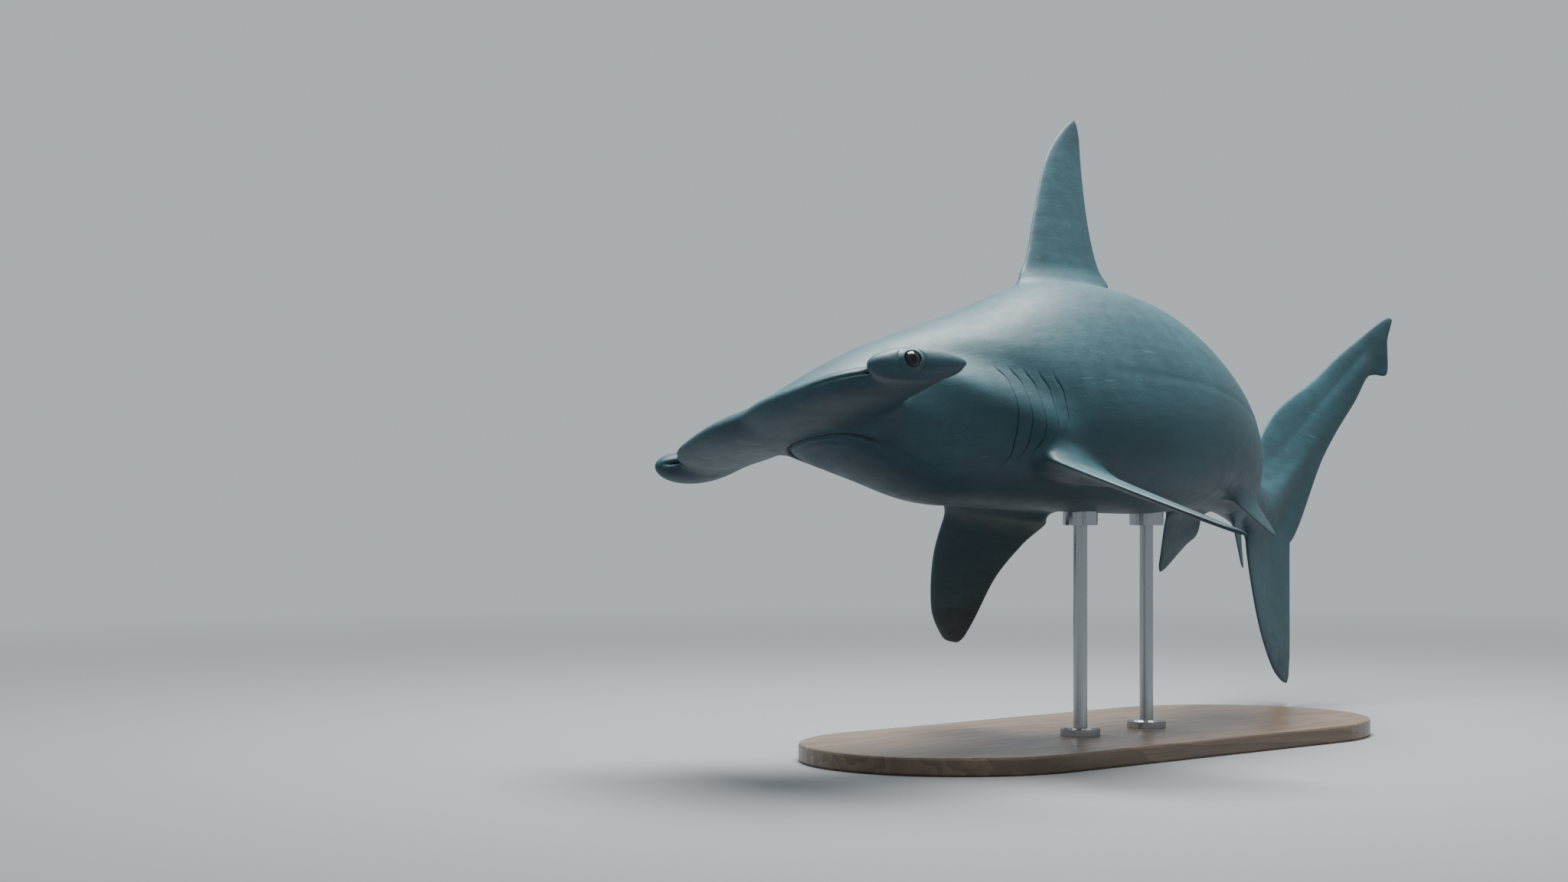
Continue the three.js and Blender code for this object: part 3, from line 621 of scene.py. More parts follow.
def tip_rounding(u):
    """Share of the full width that is left towards the tip."""
    return np.sqrt(1 - TIP_DEPTH * np.clip((u - TIP_ROUNDING) / (1 - TIP_ROUNDING), 0, 1) ** 2)


def distances_to(body, points):
    """How far each point lies from the body's surface."""
    distances = np.zeros(points.shape[:-1])
    for index in np.ndindex(distances.shape):
        distances[index] = body.find_nearest(points[index])[3]
    return distances


def fin_object(name, fin, placed, body):
    """Fin between its two margins, thickest near the leading edge, with a flared root."""
    length = pct(max(abs(point[1]) for point in fin["front"]))
    rows = int(length / FIN_ROW_STEP)
    u = np.linspace(0, 1, rows)[:, None]
    v = (np.linspace(0, 1, FIN_COLUMNS) ** FIN_COLUMN_POWER)[None, :]
    front = fin_margin(fin["front"], u)
    rear = fin_margin(fin["rear"], u)
    rounding = tip_rounding(u)
    across = 0.5 + (v - 0.5) * rounding
    x = front[0] + (rear[0] - front[0]) * across
    h = front[1] + (rear[1] - front[1]) * across
    away = distances_to(body, placed(np.stack([x, h, 0 * x], axis=-1)))
    flare = pct(fin["flare"]) * np.clip(1 - away / pct(fin["flare"] * FLARE_REACH), 0, 1) ** 2
    blunt = np.sqrt(np.clip(8 * v * (1 - v), 0, 1))
    half = pct(fin["thickness"]) * (1 - FIN_THINNING * u) * fin_profile(v) * rounding / 2
    half = half + FIN_EDGE * blunt + flare * blunt
    x = x - flare * (1 - v) ** 3
    upper = placed(np.stack([x, h, half], axis=-1))
    lower = placed(np.stack([x, h, -half], axis=-1))[:, -2:0:-1]
    return mesh_object(name, *loft(np.concatenate([upper, lower], axis=1)))


def median_fin(name, fin, up, body):
    edge = BACK if up > 0 else BELLY
    foot = pct(curve_at(STATION, edge, fin["start"] + 4) - fin["sunk"])

    def placed(p):
        return np.stack([pct(fin["start"]) + p[..., 0], p[..., 2], up * (foot + p[..., 1])], axis=-1)

    return fin_object(name, fin, placed, body)


def tail_lobe(name, fin, body):
    def placed(p):
        return np.stack([pct(TAIL_START) + p[..., 0], p[..., 2], p[..., 1]], axis=-1)

    return fin_object(name, fin, placed, body)


def paired_attitude(pose):
    droop = rotation("X", pose["droop"])[0]
    pitch = rotation("Y", pose["pitch"])[0]
    sweep = rotation("Z", -pose["sweep"])[0]
    return droop @ pitch @ sweep


def paired_fin(name, fin, pose, side, body):
    attitude = paired_attitude(pose)
    root = pct(fin["root"])

    def placed(p):
        return (p @ attitude.T + root) * [1, side, 1]

    return fin_object(name, fin, placed, body)


# Skin

def body_core():
    """Trunk, hammer and eye sockets as one even mesh with soft inner corners."""
    core = trunk_object()
    hammer = hammer_object()
    trunk_tree = tree_of(core)
    neck = [box_and_tree(hammer)]
    for piece in [hammer, orbit_object(-1), orbit_object(1)]:
        unite(core, piece)
    remesh_evenly(core, SKIN_VOXEL)
    mesh = core.data
    points = points_of(mesh)
    edges = edges_of(mesh)
    points = smoothed(points, edges, np.ones(len(points)), SKIN_ROUNDS)
    weight = join_weight(points, trunk_tree, neck, NECK_REACH)
    set_points(mesh, smoothed(points, edges, weight, NECK_ROUNDS))
    return core


def fin_objects(body):
    return [
        median_fin("dorsal_first", DORSAL_FIRST, 1, body),
        median_fin("dorsal_second", DORSAL_SECOND, 1, body),
        median_fin("anal", ANAL, -1, body),
        paired_fin("pectoral_left", PECTORAL, PECTORAL_LEFT, -1, body),
        paired_fin("pectoral_right", PECTORAL, PECTORAL_RIGHT, 1, body),
        paired_fin("pelvic_left", PELVIC, PELVIC_LEFT, -1, body),
        paired_fin("pelvic_right", PELVIC, PELVIC_RIGHT, 1, body),
        tail_lobe("tail_upper", TAIL_UPPER, body),
        tail_lobe("tail_lower", TAIL_LOWER, body),
    ]


def tree_of(obj):
    mesh = obj.data
    return BVHTree.FromPolygons(points_of(mesh).tolist(), [p.vertices[:] for p in mesh.polygons])


def box_and_tree(obj):
    points = points_of(obj.data)
    return points.min(axis=0), points.max(axis=0), tree_of(obj)


def join_weight(points, body_tree, pieces, reach):
    """1 where a piece meets the body, falling to 0 over the reach of the fillet."""
    weight = np.zeros(len(points))
    for low, high, tree in pieces:
        near = np.all((points > low - reach) & (points < high + reach), axis=1)
        for i in np.flatnonzero(near):
            point = points[i]
            from_body = body_tree.find_nearest(point, reach)[3]
            if from_body is None:
                continue
            from_piece = tree.find_nearest(point, reach)[3]
            if from_piece is None:
                continue
            away = max(from_body, from_piece) / reach
            weight[i] = max(weight[i], (1 - smooth_step(0, 1, away)) ** JOIN_FADE)
    return weight


def joined_skin():
    """Body and fins as one mesh on the straight body, with fillets at the fins' roots."""
    skin = body_core()
    body_tree = tree_of(skin)
    fins = []
    for fin in fin_objects(body_tree):
        fins.append(box_and_tree(fin))
        unite(skin, fin)
    mesh = skin.data
    points = points_of(mesh)
    weight = join_weight(points, body_tree, fins, JOIN_REACH)
    set_points(mesh, smoothed(points, edges_of(mesh), weight, JOIN_ROUNDS))
    return skin


# Gills, mouth, nostrils and lids, each as a shift of the skin and painted shade that grows with the
# depth of its grooves

def section_place(points):
    """Each point's place out and up in the trunk's section, 1 at the section's edge."""
    side, back, belly, rise = trunk_sizes(points[:, 0])
    z = points[:, 2] - rise
    return np.abs(points[:, 1]) / side, np.where(z > 0, z / back, z / belly)


def flank_angle(points):
    """Height of each point round the flank, in degrees above its middle."""
    out, up = section_place(points)
    return np.degrees(np.arctan2(up, out))


def on_trunk(points):
    """1 on the trunk, and 0 on the fins and the hammer that stand out of it."""
    return 1 - smooth_step(*TRUNK_EDGE, np.hypot(*section_place(points)))


def gill_lines(points):
    """Distance behind each gill's edge and how open the slit is there."""
    angle = flank_angle(points)
    trunk = on_trunk(points)
    lines = []
    for i in range(GILL_COUNT):
        top = GILL_TOP_ANGLE - GILL_STEP_DOWN * i
        bottom = GILL_BOTTOM_ANGLE + GILL_STEP_UP * i
        open_below = smooth_step(bottom - GILL_FADE_ANGLE, bottom, angle)
        open_above = 1 - smooth_step(top, top + GILL_FADE_ANGLE, angle)
        window = open_below * open_above * trunk
        edge = FIRST_GILL + i * GILL_SPACING + GILL_BOW * window
        lines.append((points[:, 0] - edge, window))
    return lines


def gill_details(points, normals):
    shift = np.zeros_like(points)
    groove_shade = np.zeros(len(points))
    for away, window in gill_lines(points):
        flap = np.clip(1 + away / GILL_FLAP_LENGTH, 0, 1) ** GILL_FLAP_POWER
        fall = smooth_step(0, GILL_LIP, away)
        slit = fall * (1 - smooth_step(GILL_LIP, GILL_SLIT_WIDTH, away))
        out = window * (GILL_FLAP_RISE * flap * (1 - fall) - GILL_SLIT_DEPTH * slit)
        shift += normals * out[:, None]
        shift[:, 0] += window * GILL_OVERHANG * bell(away, GILL_SLIT_WIDTH / 2)
        # Painted shade in the open slit
        groove_shade = np.maximum(groove_shade, window * slit)
    return shift, groove_shade


def mouth_lines(points):
    """Distance outside the mouth's arch, how open it is there, and places within and along it."""
    across = np.abs(points[:, 1]) / MOUTH_HALF_WIDTH
    along = (points[:, 0] - MOUTH_FRONT - MOUTH_LENGTH) / MOUTH_LENGTH
    ahead = np.minimum(along, 0)
    radius = np.sqrt(across**2 + ahead**2) + 1e-9
    slope = np.sqrt((across / MOUTH_HALF_WIDTH) ** 2 + (ahead / MOUTH_LENGTH) ** 2) / radius
    away = (radius - 1) / np.maximum(slope, 1e-6)
    return away, smooth_step(0.35, 0.0, along), radius, along


def mouth_details(points, normals):
    away, window, radius, along = mouth_lines(points)
    below = smooth_step(-0.05, -0.5, normals[:, 2]) * (points[:, 0] > MOUTH_FROM)
    lips = LIP_HEIGHT * (bell(away - LIP_OFFSET, LIP_WIDTH) + bell(away + LIP_OFFSET, LIP_WIDTH))
    cleft = bell(away, MOUTH_WIDTH)
    jaw = JAW_DROP * (1 - smooth_step(0.7, 1, radius)) * (1 - smooth_step(0, 1.5, along))
    down = below * (window * (lips - MOUTH_DEPTH * cleft) + jaw)
    # The second value is painted shade in the mouth's cleft
    return normals * down[:, None], below * window * cleft


def leading_edge(points):
    """Height over the hammer's leading edge, distance behind it and share of the half span."""
    span = np.clip(2 * points[:, 1] / HAMMER_SPAN, -HAMMER_TIP, HAMMER_TIP)
    edge = hammer_point(span, np.zeros(len(points)), 1)
    return points[:, 2] - edge[:, 2], points[:, 0] - edge[:, 0], np.abs(span)


def nostril_details(points, normals):
    height, behind, span = leading_edge(points)
    close = 1 - smooth_step(*NOSTRIL_BEHIND, behind)
    half = NOSTRIL_LENGTH / HAMMER_SPAN
    slot = bell(height, NOSTRIL_HEIGHT) * bell(span - NOSTRIL_SPAN, NOSTRIL_TAPER * half) * close
    start, end = NOSTRIL_GROOVE
    rise, fall = NOSTRIL_GROOVE_ENDS
    along = smooth_step(start, start + rise, span) * (1 - smooth_step(end, end + fall, span))
    line = bell(height, NOSTRIL_HEIGHT * 0.8) * close * along
    depth = np.maximum(NOSTRIL_DEPTH * slot, NOSTRIL_GROOVE_DEPTH * line)
    # The second value is painted shade in the nostril and its furrow
    return normals * -depth[:, None], np.maximum(slot, 0.25 * line)


def eye_distance(points, side):
    """Distance from the eye's axis, height along it over the eye's centre, and the axis."""
    centre, look = eye_frame(side)
    local = points - centre
    height = local @ look
    aside = local - height[:, None] * look
    flattened = aside * [1, 1, EYE_FLATTENING]
    return np.linalg.norm(flattened, axis=1), height, look


def lid_details(points, _normals):
    shift = np.zeros_like(points)
    groove_shade = np.zeros(len(points))
    for side in (-1, 1):
        away, height, look = eye_distance(points, side)
        outer = smooth_step(-0.002, 0.004, height)
        lid = bell(away - EYE_OPENING - LID_WIDTH / 2, LID_WIDTH * 0.6)
        fold = bell(away - EYE_OPENING - 2 * LID_WIDTH, LID_WIDTH * 0.35)
        sink = 1 - smooth_step(EYE_OPENING - 0.002, EYE_OPENING + 0.0006, away)
        out = outer * (LID_HEIGHT * lid - LID_FOLD * fold - EYE_SINK * sink)
        shift += look * out[:, None]
        # Painted shade where the skin sinks round the eye and in the lid's fold
        groove_shade = np.maximum(groove_shade, outer * np.maximum(sink, 0.5 * fold))
    return shift, groove_shade


def shoulder_details(points, normals):
    """Ledge of the gill region, with the hollow over it."""
    along = (points[:, 0] - SHOULDER_FROM) / (SHOULDER_TO - SHOULDER_FROM)
    high, low = SHOULDER_ANGLES
    off = flank_angle(points) - high - (low - high) * along
    length = smooth_step(-0.25, 0.25, along) * (1 - smooth_step(0.8, 1.25, along))
    ledge = SHOULDER_RISE * bell(off, SHOULDER_WIDTH)
    hollow = SHOULDER_HOLLOW * bell(off - SHOULDER_GAP, SHOULDER_WIDTH)
    out = (ledge - hollow) * length * on_trunk(points)
    return normals * out[:, None], np.zeros(len(points))


def trunk_details(points, normals):
    """Faint line along the flank, and the pit in front of the tail fin."""
    angle = flank_angle(points)
    x = points[:, 0]
    length = smooth_step(*LATERAL_START, x) * (1 - smooth_step(*LATERAL_STOP, x))
    line = LATERAL_DEPTH * bell(angle - LATERAL_ANGLE, LATERAL_WIDTH) * length * on_trunk(points)
    pit = PIT_DEPTH * bell(x - PIT_PLACE, PIT_LENGTH) * smooth_step(*PIT_ANGLES, angle)
    return normals * -(line + pit)[:, None], PIT_SHADE * pit / PIT_DEPTH


def near_details(points, margin):
    """Whether each point is within a margin of a gill, the mouth, a nostril or an eye."""
    near = np.zeros(len(points), bool)
    first, last = FLANK_ENDS
    flank = (points[:, 0] > first) & (np.abs(points[:, 1]) > FLANK_OUT) & (points[:, 0] < last)
    for away, window in gill_lines(points):
        near |= flank & (window > 0.01) & (away > -margin) & (away < margin + GILL_SLIT_WIDTH)
    head = points[:, 0] < HEAD_END
    away, window = mouth_lines(points)[:2]
    near |= head & (points[:, 2] < 0) & (window > 0.01) & (np.abs(away) < margin + LIP_OFFSET)
    height, behind, span = leading_edge(points)
    nostril = (span > NOSTRIL_GROOVE[0]) & (span < NOSTRIL_SPAN + 0.08)
    near |= head & nostril & (np.abs(height) < margin + 0.004) & (behind < margin + 0.012)
    for side in (-1, 1):
        away, height = eye_distance(points, side)[:2]
        near |= (away < EYE_OPENING + 2.5 * LID_WIDTH + margin) & (height > -0.004)
    return near


def refine(obj, chosen):
    """Splits the faces between the chosen points into smaller ones."""
    bm = bmesh.new()
    bm.from_mesh(obj.data)
    edges = [e for e in bm.edges if chosen[e.verts[0].index] and chosen[e.verts[1].index]]
    bmesh.ops.subdivide_edges(bm, edges=edges, cuts=1, use_grid_fill=True)
    bmesh.ops.triangulate(bm, faces=[f for f in bm.faces if len(f.verts) > 4])
    bm.to_mesh(obj.data)
    bm.free()


def detailed_skin():
    """The joined skin with every small form, and the painted shade of its grooves, by how deep they
    are.
    """
    skin = joined_skin()
    for margin in DETAIL_MARGINS:
        refine(skin, near_details(points_of(skin.data), margin))
    mesh = skin.data
    points = points_of(mesh)
    weight = near_details(points, DETAIL_MARGINS[0]).astype(float)
    points = smoothed(points, edges_of(mesh), weight, DETAIL_ROUNDS)
    set_points(mesh, points)
    normals = normals_of(mesh)
    shift = np.zeros_like(points)
    groove_shade = np.zeros(len(points))
    parts = (gill_details, mouth_details, nostril_details, lid_details, shoulder_details, trunk_details)
    for details in parts:
        # Each form gives its shift of the skin and its painted shade
        more, deeper = details(points, normals)
        shift += more
        groove_shade = np.maximum(groove_shade, deeper)
    set_points(mesh, points + shift)
    return skin, groove_shade


# Markings and painted shade, from the place and slope of each point on the straight body

def fin_places(points):
    """How far each point lies towards its fin's tip, and 0 away from the fins."""
    reach = np.zeros(len(points))
    x, y, z = points.T
    _, back, _, rise = trunk_sizes(x)
    dorsal = (x > DORSAL_ENDS[0]) & (x < DORSAL_ENDS[1]) & (z > back)
    reach[dorsal] = ((z - back) / DORSAL_HEIGHT)[dorsal]
    for fin, pose, sign in (
        (PECTORAL, PECTORAL_LEFT, -1),
        (PECTORAL, PECTORAL_RIGHT, 1),
        (PELVIC, PELVIC_LEFT, -1),
        (PELVIC, PELVIC_RIGHT, 1),
    ):
        local = (points * [1, sign, 1] - pct(fin["root"])) @ paired_attitude(pose)
        height = pct(fin["front"][-1][1])
        thin = np.abs(local[:, 2]) < PAIRED_SLACK
        chord = (local[:, 0] > -PAIRED_SLACK) & (local[:, 0] < PAIRED_CHORD)
        out = (local[:, 1] > 0) & (local[:, 1] < PAIRED_OVERSHOOT * height)
        on = thin & chord & out & (sign * y > 0)
        reach[on] = (local[:, 1] / height)[on]
    tail = x > pct(TAIL_START + 1)
    upper = tail & (z > rise)
    lower = tail & (z <= rise)
    reach[upper] = np.maximum(reach[upper], (z / UPPER_LOBE_HEIGHT)[upper])
    reach[lower] = np.maximum(reach[lower], (-z / LOWER_LOBE_HEIGHT)[lower])
    return np.clip(reach, 0, 1)


# Share of painted shade on each point, growing as its skin faces down
def underside_shade_share(normals):
    return smooth_step(*UNDERSIDE_SHADE_SLOPES, normals[:, 2])


def store(mesh, name, values):
    layer = mesh.attributes.new(name, "FLOAT", "POINT")
    layer.data.foreach_set("value", values)


def store_places(mesh, name, points):
    layer = mesh.attributes.new(name, "FLOAT_VECTOR", "POINT")
    layer.data.foreach_set("vector", np.asarray(points).ravel())


def add_skin():
    """The whole skin on the bent body line, with its markings and painted shade kept on the mesh."""
    skin, groove_shade = detailed_skin()
    mesh = skin.data
    rest = points_of(mesh)
    # Painted shade of the underside, blurred over the mesh and kept as the belly layer
    share = underside_shade_share(normals_of(mesh))[:, None]
    share = smoothed(share, edges_of(mesh), np.ones(len(rest)), UNDERSIDE_SHADE_ROUNDS)[:, 0]
    store_places(mesh, "rest", rest)
    store(mesh, "belly", share)
    # Painted shade in the grooves, kept as its own layer
    store(mesh, "groove_shade", groove_shade)
    store(mesh, "reach", fin_places(rest))
    set_points(mesh, carry(rest))
    mesh.shade_smooth()
    mesh.materials.clear()
    mesh.materials.append(skin_material())
    skin.name = "shark_skin"
    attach(skin, "root")
    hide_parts(*FLESH_NODES)


# Eyes

def add_eye(name, side, node):
    """Eyeball with its own axes kept on the mesh, for the iris and pupil."""
    centre, look = eye_frame(side)
    ahead = np.cross([0, 0, 1], look)
    local = sphere_points(EYE_RINGS, EYE_SIDES).reshape(-1, 3)
    size = EYE_RADIUS * (1 + EYE_BULGE * smooth_step(0.75, 1, local[:, 2]))
    rest = centre + (local * size[:, None]) @ np.stack([ahead, [0, 0, 1], look])
    eye = mesh_object(name, *loft(rest.reshape(EYE_RINGS, EYE_SIDES, 3)))
    mesh = eye.data
    store_places(mesh, "axes", local)
    set_points(mesh, carry(rest))
    mesh.shade_smooth()
    mesh.materials.append(eye_material())
    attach(eye, "root")
    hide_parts(node)


# Materials

def new_material(name):
    material = bpy.data.materials.new(name)
    material.use_nodes = True
    tree = material.node_tree
    return material, tree, tree.nodes["Principled BSDF"]


def fed(tree, socket, value):
    """Links a socket to another, or sets its value."""
    if isinstance(value, bpy.types.NodeSocket):
        tree.links.new(value, socket)
    elif isinstance(value, tuple) and len(value) == 3 and socket.type == "RGBA":
        socket.default_value = (*value, 1)
    else:
        socket.default_value = value


def add_node(tree, kind, inputs, **settings):
    node = tree.nodes.new(kind)
    for name, value in settings.items():
        setattr(node, name, value)
    for key, value in inputs.items():
        fed(tree, node.inputs[key], value)
    return node


def attribute(tree, name):
    return add_node(tree, "ShaderNodeAttribute", {}, attribute_name=name)


def noise(tree, place, scale, detail):
    inputs = {"Vector": place, "Scale": scale, "Detail": detail, "Roughness": NOISE_ROUGHNESS}
    return add_node(tree, "ShaderNodeTexNoise", inputs).outputs["Fac"]


def stretched(tree, place, scale):
    return add_node(tree, "ShaderNodeMapping", {"Vector": place, "Scale": scale}).outputs["Vector"]


def ranged(tree, value, low, high, to_low=0.0, to_high=1.0):
    """Smooth step between two values, onto another range."""
    inputs = {"Value": value, "From Min": low, "From Max": high, "To Min": to_low, "To Max": to_high}
    node = add_node(tree, "ShaderNodeMapRange", inputs, interpolation_type="SMOOTHSTEP")
    return node.outputs["Result"]


def maths(tree, operation, a, b):
    return add_node(tree, "ShaderNodeMath", {0: a, 1: b}, operation=operation).outputs[0]


def mixed(tree, factor, a, b, blend="MIX"):
    node = add_node(tree, "ShaderNodeMix", {}, data_type="RGBA", blend_type=blend)
    fed(tree, node.inputs[0], factor)
    fed(tree, node.inputs[6], a)
    fed(tree, node.inputs[7], b)
    return node.outputs[2]


def bumped(tree, height, strength, distance, normal=None):
    inputs = {"Height": height, "Strength": strength, "Distance": distance}
    if normal is not None:
        inputs["Normal"] = normal
    return add_node(tree, "ShaderNodeBump", inputs).outputs["Normal"]


def toned(tree, colour, pattern, tones):
    """Colour made lighter and darker by a pattern."""
    tone = ranged(tree, pattern, 0.3, 0.7, *tones)
    grey = add_node(tree, "ShaderNodeCombineColor", {0: tone, 1: tone, 2: tone}).outputs[0]
    return mixed(tree, 1.0, colour, grey, "MULTIPLY")


def wavered(tree, share, pattern):
    """Share whose edge wanders with a pattern."""
    return maths(tree, "ADD", share, ranged(tree, pattern, 0.3, 0.7, -EDGE_WAVER, EDGE_WAVER))


def skin_colour(tree, rest, mottle, grain):
    belly = attribute(tree, "belly").outputs["Fac"]
    reach = attribute(tree, "reach").outputs["Fac"]
    groove_shade = attribute(tree, "groove_shade").outputs["Fac"]
    patches = noise(tree, rest, PATCH_SCALE, 4.0)
    streaks = noise(tree, stretched(tree, rest, STREAK_SCALE), 1.0, 4.0)
    scratches = noise(tree, stretched(tree, rest, SCRATCH_SCALE), 1.0, 1.0)
    # Painted shade: darker, bluer skin where it faces down, from the belly layer
    under = ranged(tree, wavered(tree, belly, mottle), 0.1, 0.95)
    tips = ranged(tree, wavered(tree, reach, mottle), 0.62, 1.0, 0.0, 0.75)
    colour = mixed(tree, under, BACK_COLOUR, UNDERSIDE_SHADE_COLOUR)
    colour = mixed(tree, tips, colour, DUSKY_COLOUR)
    colour = toned(tree, colour, patches, PATCH_TONES)
    colour = toned(tree, colour, mottle, MOTTLE_TONES)
    colour = toned(tree, colour, streaks, STREAK_TONES)
    colour = toned(tree, colour, grain, GRAIN_TONES)
    colour = mixed(tree, ranged(tree, scratches, 0.73, 0.80, 0.0, 0.35), colour, SCAR_COLOUR)
    # Painted shade in the grooves, darkest where they are deepest
    return mixed(tree, ranged(tree, groove_shade, 0.15, 0.95, 0.0, 0.6), colour, GROOVE_SHADE_COLOUR)


def skin_material():
    """Slate blue-grey with painted shade, darker and bluer below and in its grooves, with dusky fin
    tips and fine grain like denticles.
    """
    material, tree, surface = new_material("shark_skin")
    rest = attribute(tree, "rest").outputs["Vector"]
    mottle = noise(tree, rest, MOTTLE_SCALE, 4.0)
    grain = noise(tree, rest, GRAIN_SCALE, 2.0)
    folds = noise(tree, stretched(tree, rest, FOLD_SCALE), 1.0, 3.0)
    normal = bumped(tree, folds, 0.25, 0.0025)
    normal = bumped(tree, grain, 0.3, 0.0006, normal)
    fed(tree, surface.inputs["Base Color"], skin_colour(tree, rest, mottle, grain))
    fed(tree, surface.inputs["Roughness"], ranged(tree, mottle, 0.2, 0.8, *SKIN_ROUGHNESS))
    fed(tree, surface.inputs["Normal"], normal)
    surface.inputs["Specular IOR Level"].default_value = 0.3
    surface.inputs["Coat Weight"].default_value = 0.05
    surface.inputs["Coat Roughness"].default_value = 0.3
    return material


def squared(tree, value):
    return maths(tree, "POWER", maths(tree, "ABSOLUTE", value, 0.0), 2.0)


def root_of_sum(tree, a, b):
    return maths(tree, "SQRT", maths(tree, "ADD", a, b), 0.0)


def eye_material():
    """Black oval pupil in a very dark iris, under a wet surface."""
    material, tree, surface = new_material("shark_eye")
    axes = attribute(tree, "axes").outputs["Vector"]
    parts = add_node(tree, "ShaderNodeSeparateXYZ", {"Vector": axes}).outputs
    wide = squared(tree, parts[0])
    tall = squared(tree, parts[1])
    around = root_of_sum(tree, wide, tall)
    oval = root_of_sum(tree, maths(tree, "MULTIPLY", wide, PUPIL_STRETCH), tall)
    rays = noise(tree, stretched(tree, axes, (9.0, 9.0, 2.0)), 3.0, 4.0)
    iris = mixed(tree, ranged(tree, rays, 0.35, 0.65), IRIS_COLOUR, IRIS_DARK_COLOUR)
    colour = mixed(tree, ranged(tree, around, *IRIS_EDGE), iris, SCLERA_COLOUR)
    colour = mixed(tree, ranged(tree, oval, *PUPIL_EDGE, 1.0, 0.0), colour, PUPIL_COLOUR)
    fed(tree, surface.inputs["Base Color"], colour)
    surface.inputs["Roughness"].default_value = 0.05
    surface.inputs["Specular IOR Level"].default_value = 0.35
    return material


def wood_material():
    """Satin smoked oak with long grain along the base."""
    material, tree, surface = new_material("oak")
    place = add_node(tree, "ShaderNodeTexCoord", {}).outputs["Object"]
    bend = noise(tree, stretched(tree, place, OAK_BEND_SCALE), 1.0, 3.0)
    rings = maths(tree, "FRACT", maths(tree, "MULTIPLY", bend, OAK_RINGS), 0.0)
    fibres = noise(tree, stretched(tree, place, OAK_FIBRE_SCALE), 1.0, 3.0)
    colour = mixed(tree, ranged(tree, rings, 0.0, 1.0), OAK_LIGHT_COLOUR, OAK_DARK_COLOUR)
    colour = mixed(tree, ranged(tree, fibres, 0.52, 0.68, 0.0, 0.55), colour, OAK_PORE_COLOUR)
    fed(tree, surface.inputs["Base Color"], colour)
    fed(tree, surface.inputs["Roughness"], ranged(tree, fibres, 0.3, 0.7, *OAK_ROUGHNESS))
    fed(tree, surface.inputs["Normal"], bumped(tree, fibres, 0.15, 0.0004))
    surface.inputs["Coat Weight"].default_value = 0.25
    surface.inputs["Coat Roughness"].default_value = 0.25
    return material


def steel_material():
    """Stainless steel brushed round the rods."""
    material, tree, surface = new_material("brushed_steel")
    place = add_node(tree, "ShaderNodeTexCoord", {}).outputs["Object"]
    brush = noise(tree, stretched(tree, place, STEEL_BRUSH_SCALE), 1.0, 2.0)
    colour = mixed(tree, brush, STEEL_DARK_COLOUR, STEEL_LIGHT_COLOUR)
    fed(tree, surface.inputs["Base Color"], colour)
    fed(tree, surface.inputs["Roughness"], ranged(tree, brush, 0.3, 0.7, *STEEL_ROUGHNESS))
    fed(tree, surface.inputs["Normal"], bumped(tree, brush, 0.03, 0.00005))
    surface.inputs["Metallic"].default_value = 1.0
    return material


def dress_stand(nodes):
    """Gives the stand's own solids their finishes."""
    wood = wood_material()
    steel = steel_material()
    for name, obj in nodes.items():
        if name.startswith("stand_"):
            obj.data.materials[0] = wood if name == "stand_base" else steel


# Stage

def floor_material():
    """Pale floor that fades into the studio's background far from the stand."""
    material, tree, surface = new_material("floor")
    surface.inputs["Base Color"].default_value = (*FLOOR_COLOUR, 1)
    surface.inputs["Roughness"].default_value = 0.9
    place = add_node(tree, "ShaderNodeTexCoord", {}).outputs["Object"]
    away = add_node(tree, "ShaderNodeVectorMath", {0: place}, operation="LENGTH").outputs["Value"]
    glow = add_node(tree, "ShaderNodeEmission", {"Color": STUDIO_COLOUR, "Strength": STUDIO_STRENGTH})
    blend = add_node(tree, "ShaderNodeMixShader", {0: ranged(tree, away, *FLOOR_FADE)})
    tree.links.new(surface.outputs[0], blend.inputs[1])
    tree.links.new(glow.outputs[0], blend.inputs[2])
    tree.links.new(blend.outputs[0], tree.nodes["Material Output"].inputs["Surface"])
    return material


def add_floor():
    corners = [(-FLOOR_REACH, -FLOOR_REACH, 0), (FLOOR_REACH, -FLOOR_REACH, 0)]
    corners += [(FLOOR_REACH, FLOOR_REACH, 0), (-FLOOR_REACH, FLOOR_REACH, 0)]
    mesh = bpy.data.meshes.new("floor")
    mesh.from_pydata(corners, [], [(0, 1, 2, 3)])
    mesh.materials.append(floor_material())
    floor = bpy.data.objects.new("floor", mesh)
    bpy.context.scene.collection.objects.link(floor)


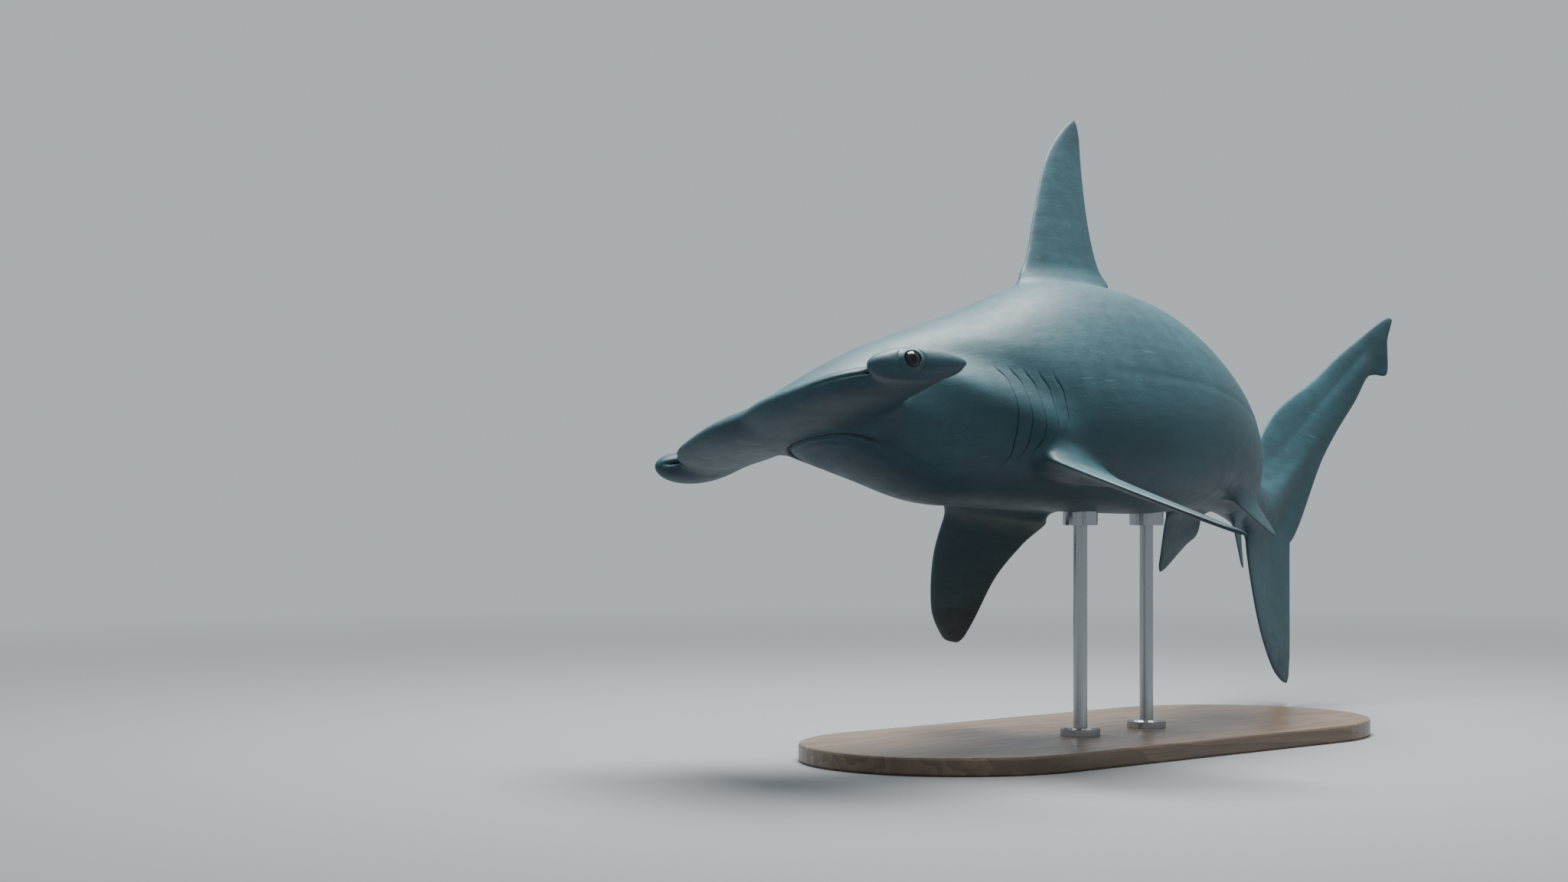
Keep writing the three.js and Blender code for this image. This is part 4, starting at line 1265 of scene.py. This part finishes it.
def add_key_light():
    light = bpy.data.lights.new("key", "AREA")
    light.shape = "RECTANGLE"
    light.size, light.size_y = KEY_SIZE
    light.energy = KEY_POWER
    light.color = (1, 1, 1)
    obj = bpy.data.objects.new("key", light)
    obj.location = KEY_PLACE
    aim = Vector(KEY_TARGET) - Vector(KEY_PLACE)
    obj.rotation_euler = aim.to_track_quat("-Z", "Y").to_euler()
    bpy.context.scene.collection.objects.link(obj)


def add_studio():
    world = bpy.data.worlds.new("studio")
    world.use_nodes = True
    background = world.node_tree.nodes["Background"]
    background.inputs["Color"].default_value = (*STUDIO_COLOUR, 1)
    background.inputs["Strength"].default_value = STUDIO_STRENGTH
    bpy.context.scene.world = world


def add_camera():
    a = np.radians(CAMERA_AZIMUTH)
    back = Vector((np.sin(a), -np.cos(a), 0))
    right = Vector((np.cos(a), np.sin(a), 0))
    up = Vector((0, 0, 1))
    data = bpy.data.cameras.new("camera")
    data.sensor_width = CAMERA_SENSOR
    data.lens = CAMERA_LENS
    data.clip_end = CAMERA_REACH
    camera = bpy.data.objects.new("camera", data)
    place = Vector(ANCHOR_PLACE) + back * CAMERA_DISTANCE + right * CAMERA_ASIDE + up * CAMERA_ABOVE
    turned = Matrix((right, up, back)).transposed().to_4x4()
    camera.matrix_world = Matrix.Translation(place) @ turned
    bpy.context.scene.collection.objects.link(camera)
    bpy.context.scene.camera = camera


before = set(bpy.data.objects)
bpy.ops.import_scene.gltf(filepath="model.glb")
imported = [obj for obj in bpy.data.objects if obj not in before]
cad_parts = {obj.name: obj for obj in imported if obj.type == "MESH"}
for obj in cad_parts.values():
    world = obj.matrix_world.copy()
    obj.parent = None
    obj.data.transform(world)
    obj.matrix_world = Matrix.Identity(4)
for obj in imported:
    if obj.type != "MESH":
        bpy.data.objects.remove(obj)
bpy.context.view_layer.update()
add_camera()
add_key_light()
add_studio()
add_floor()
dress_stand(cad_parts)
add_skin()
add_eye("shark_eye_left", -1, "eye_left")
add_eye("shark_eye_right", 1, "eye_right")
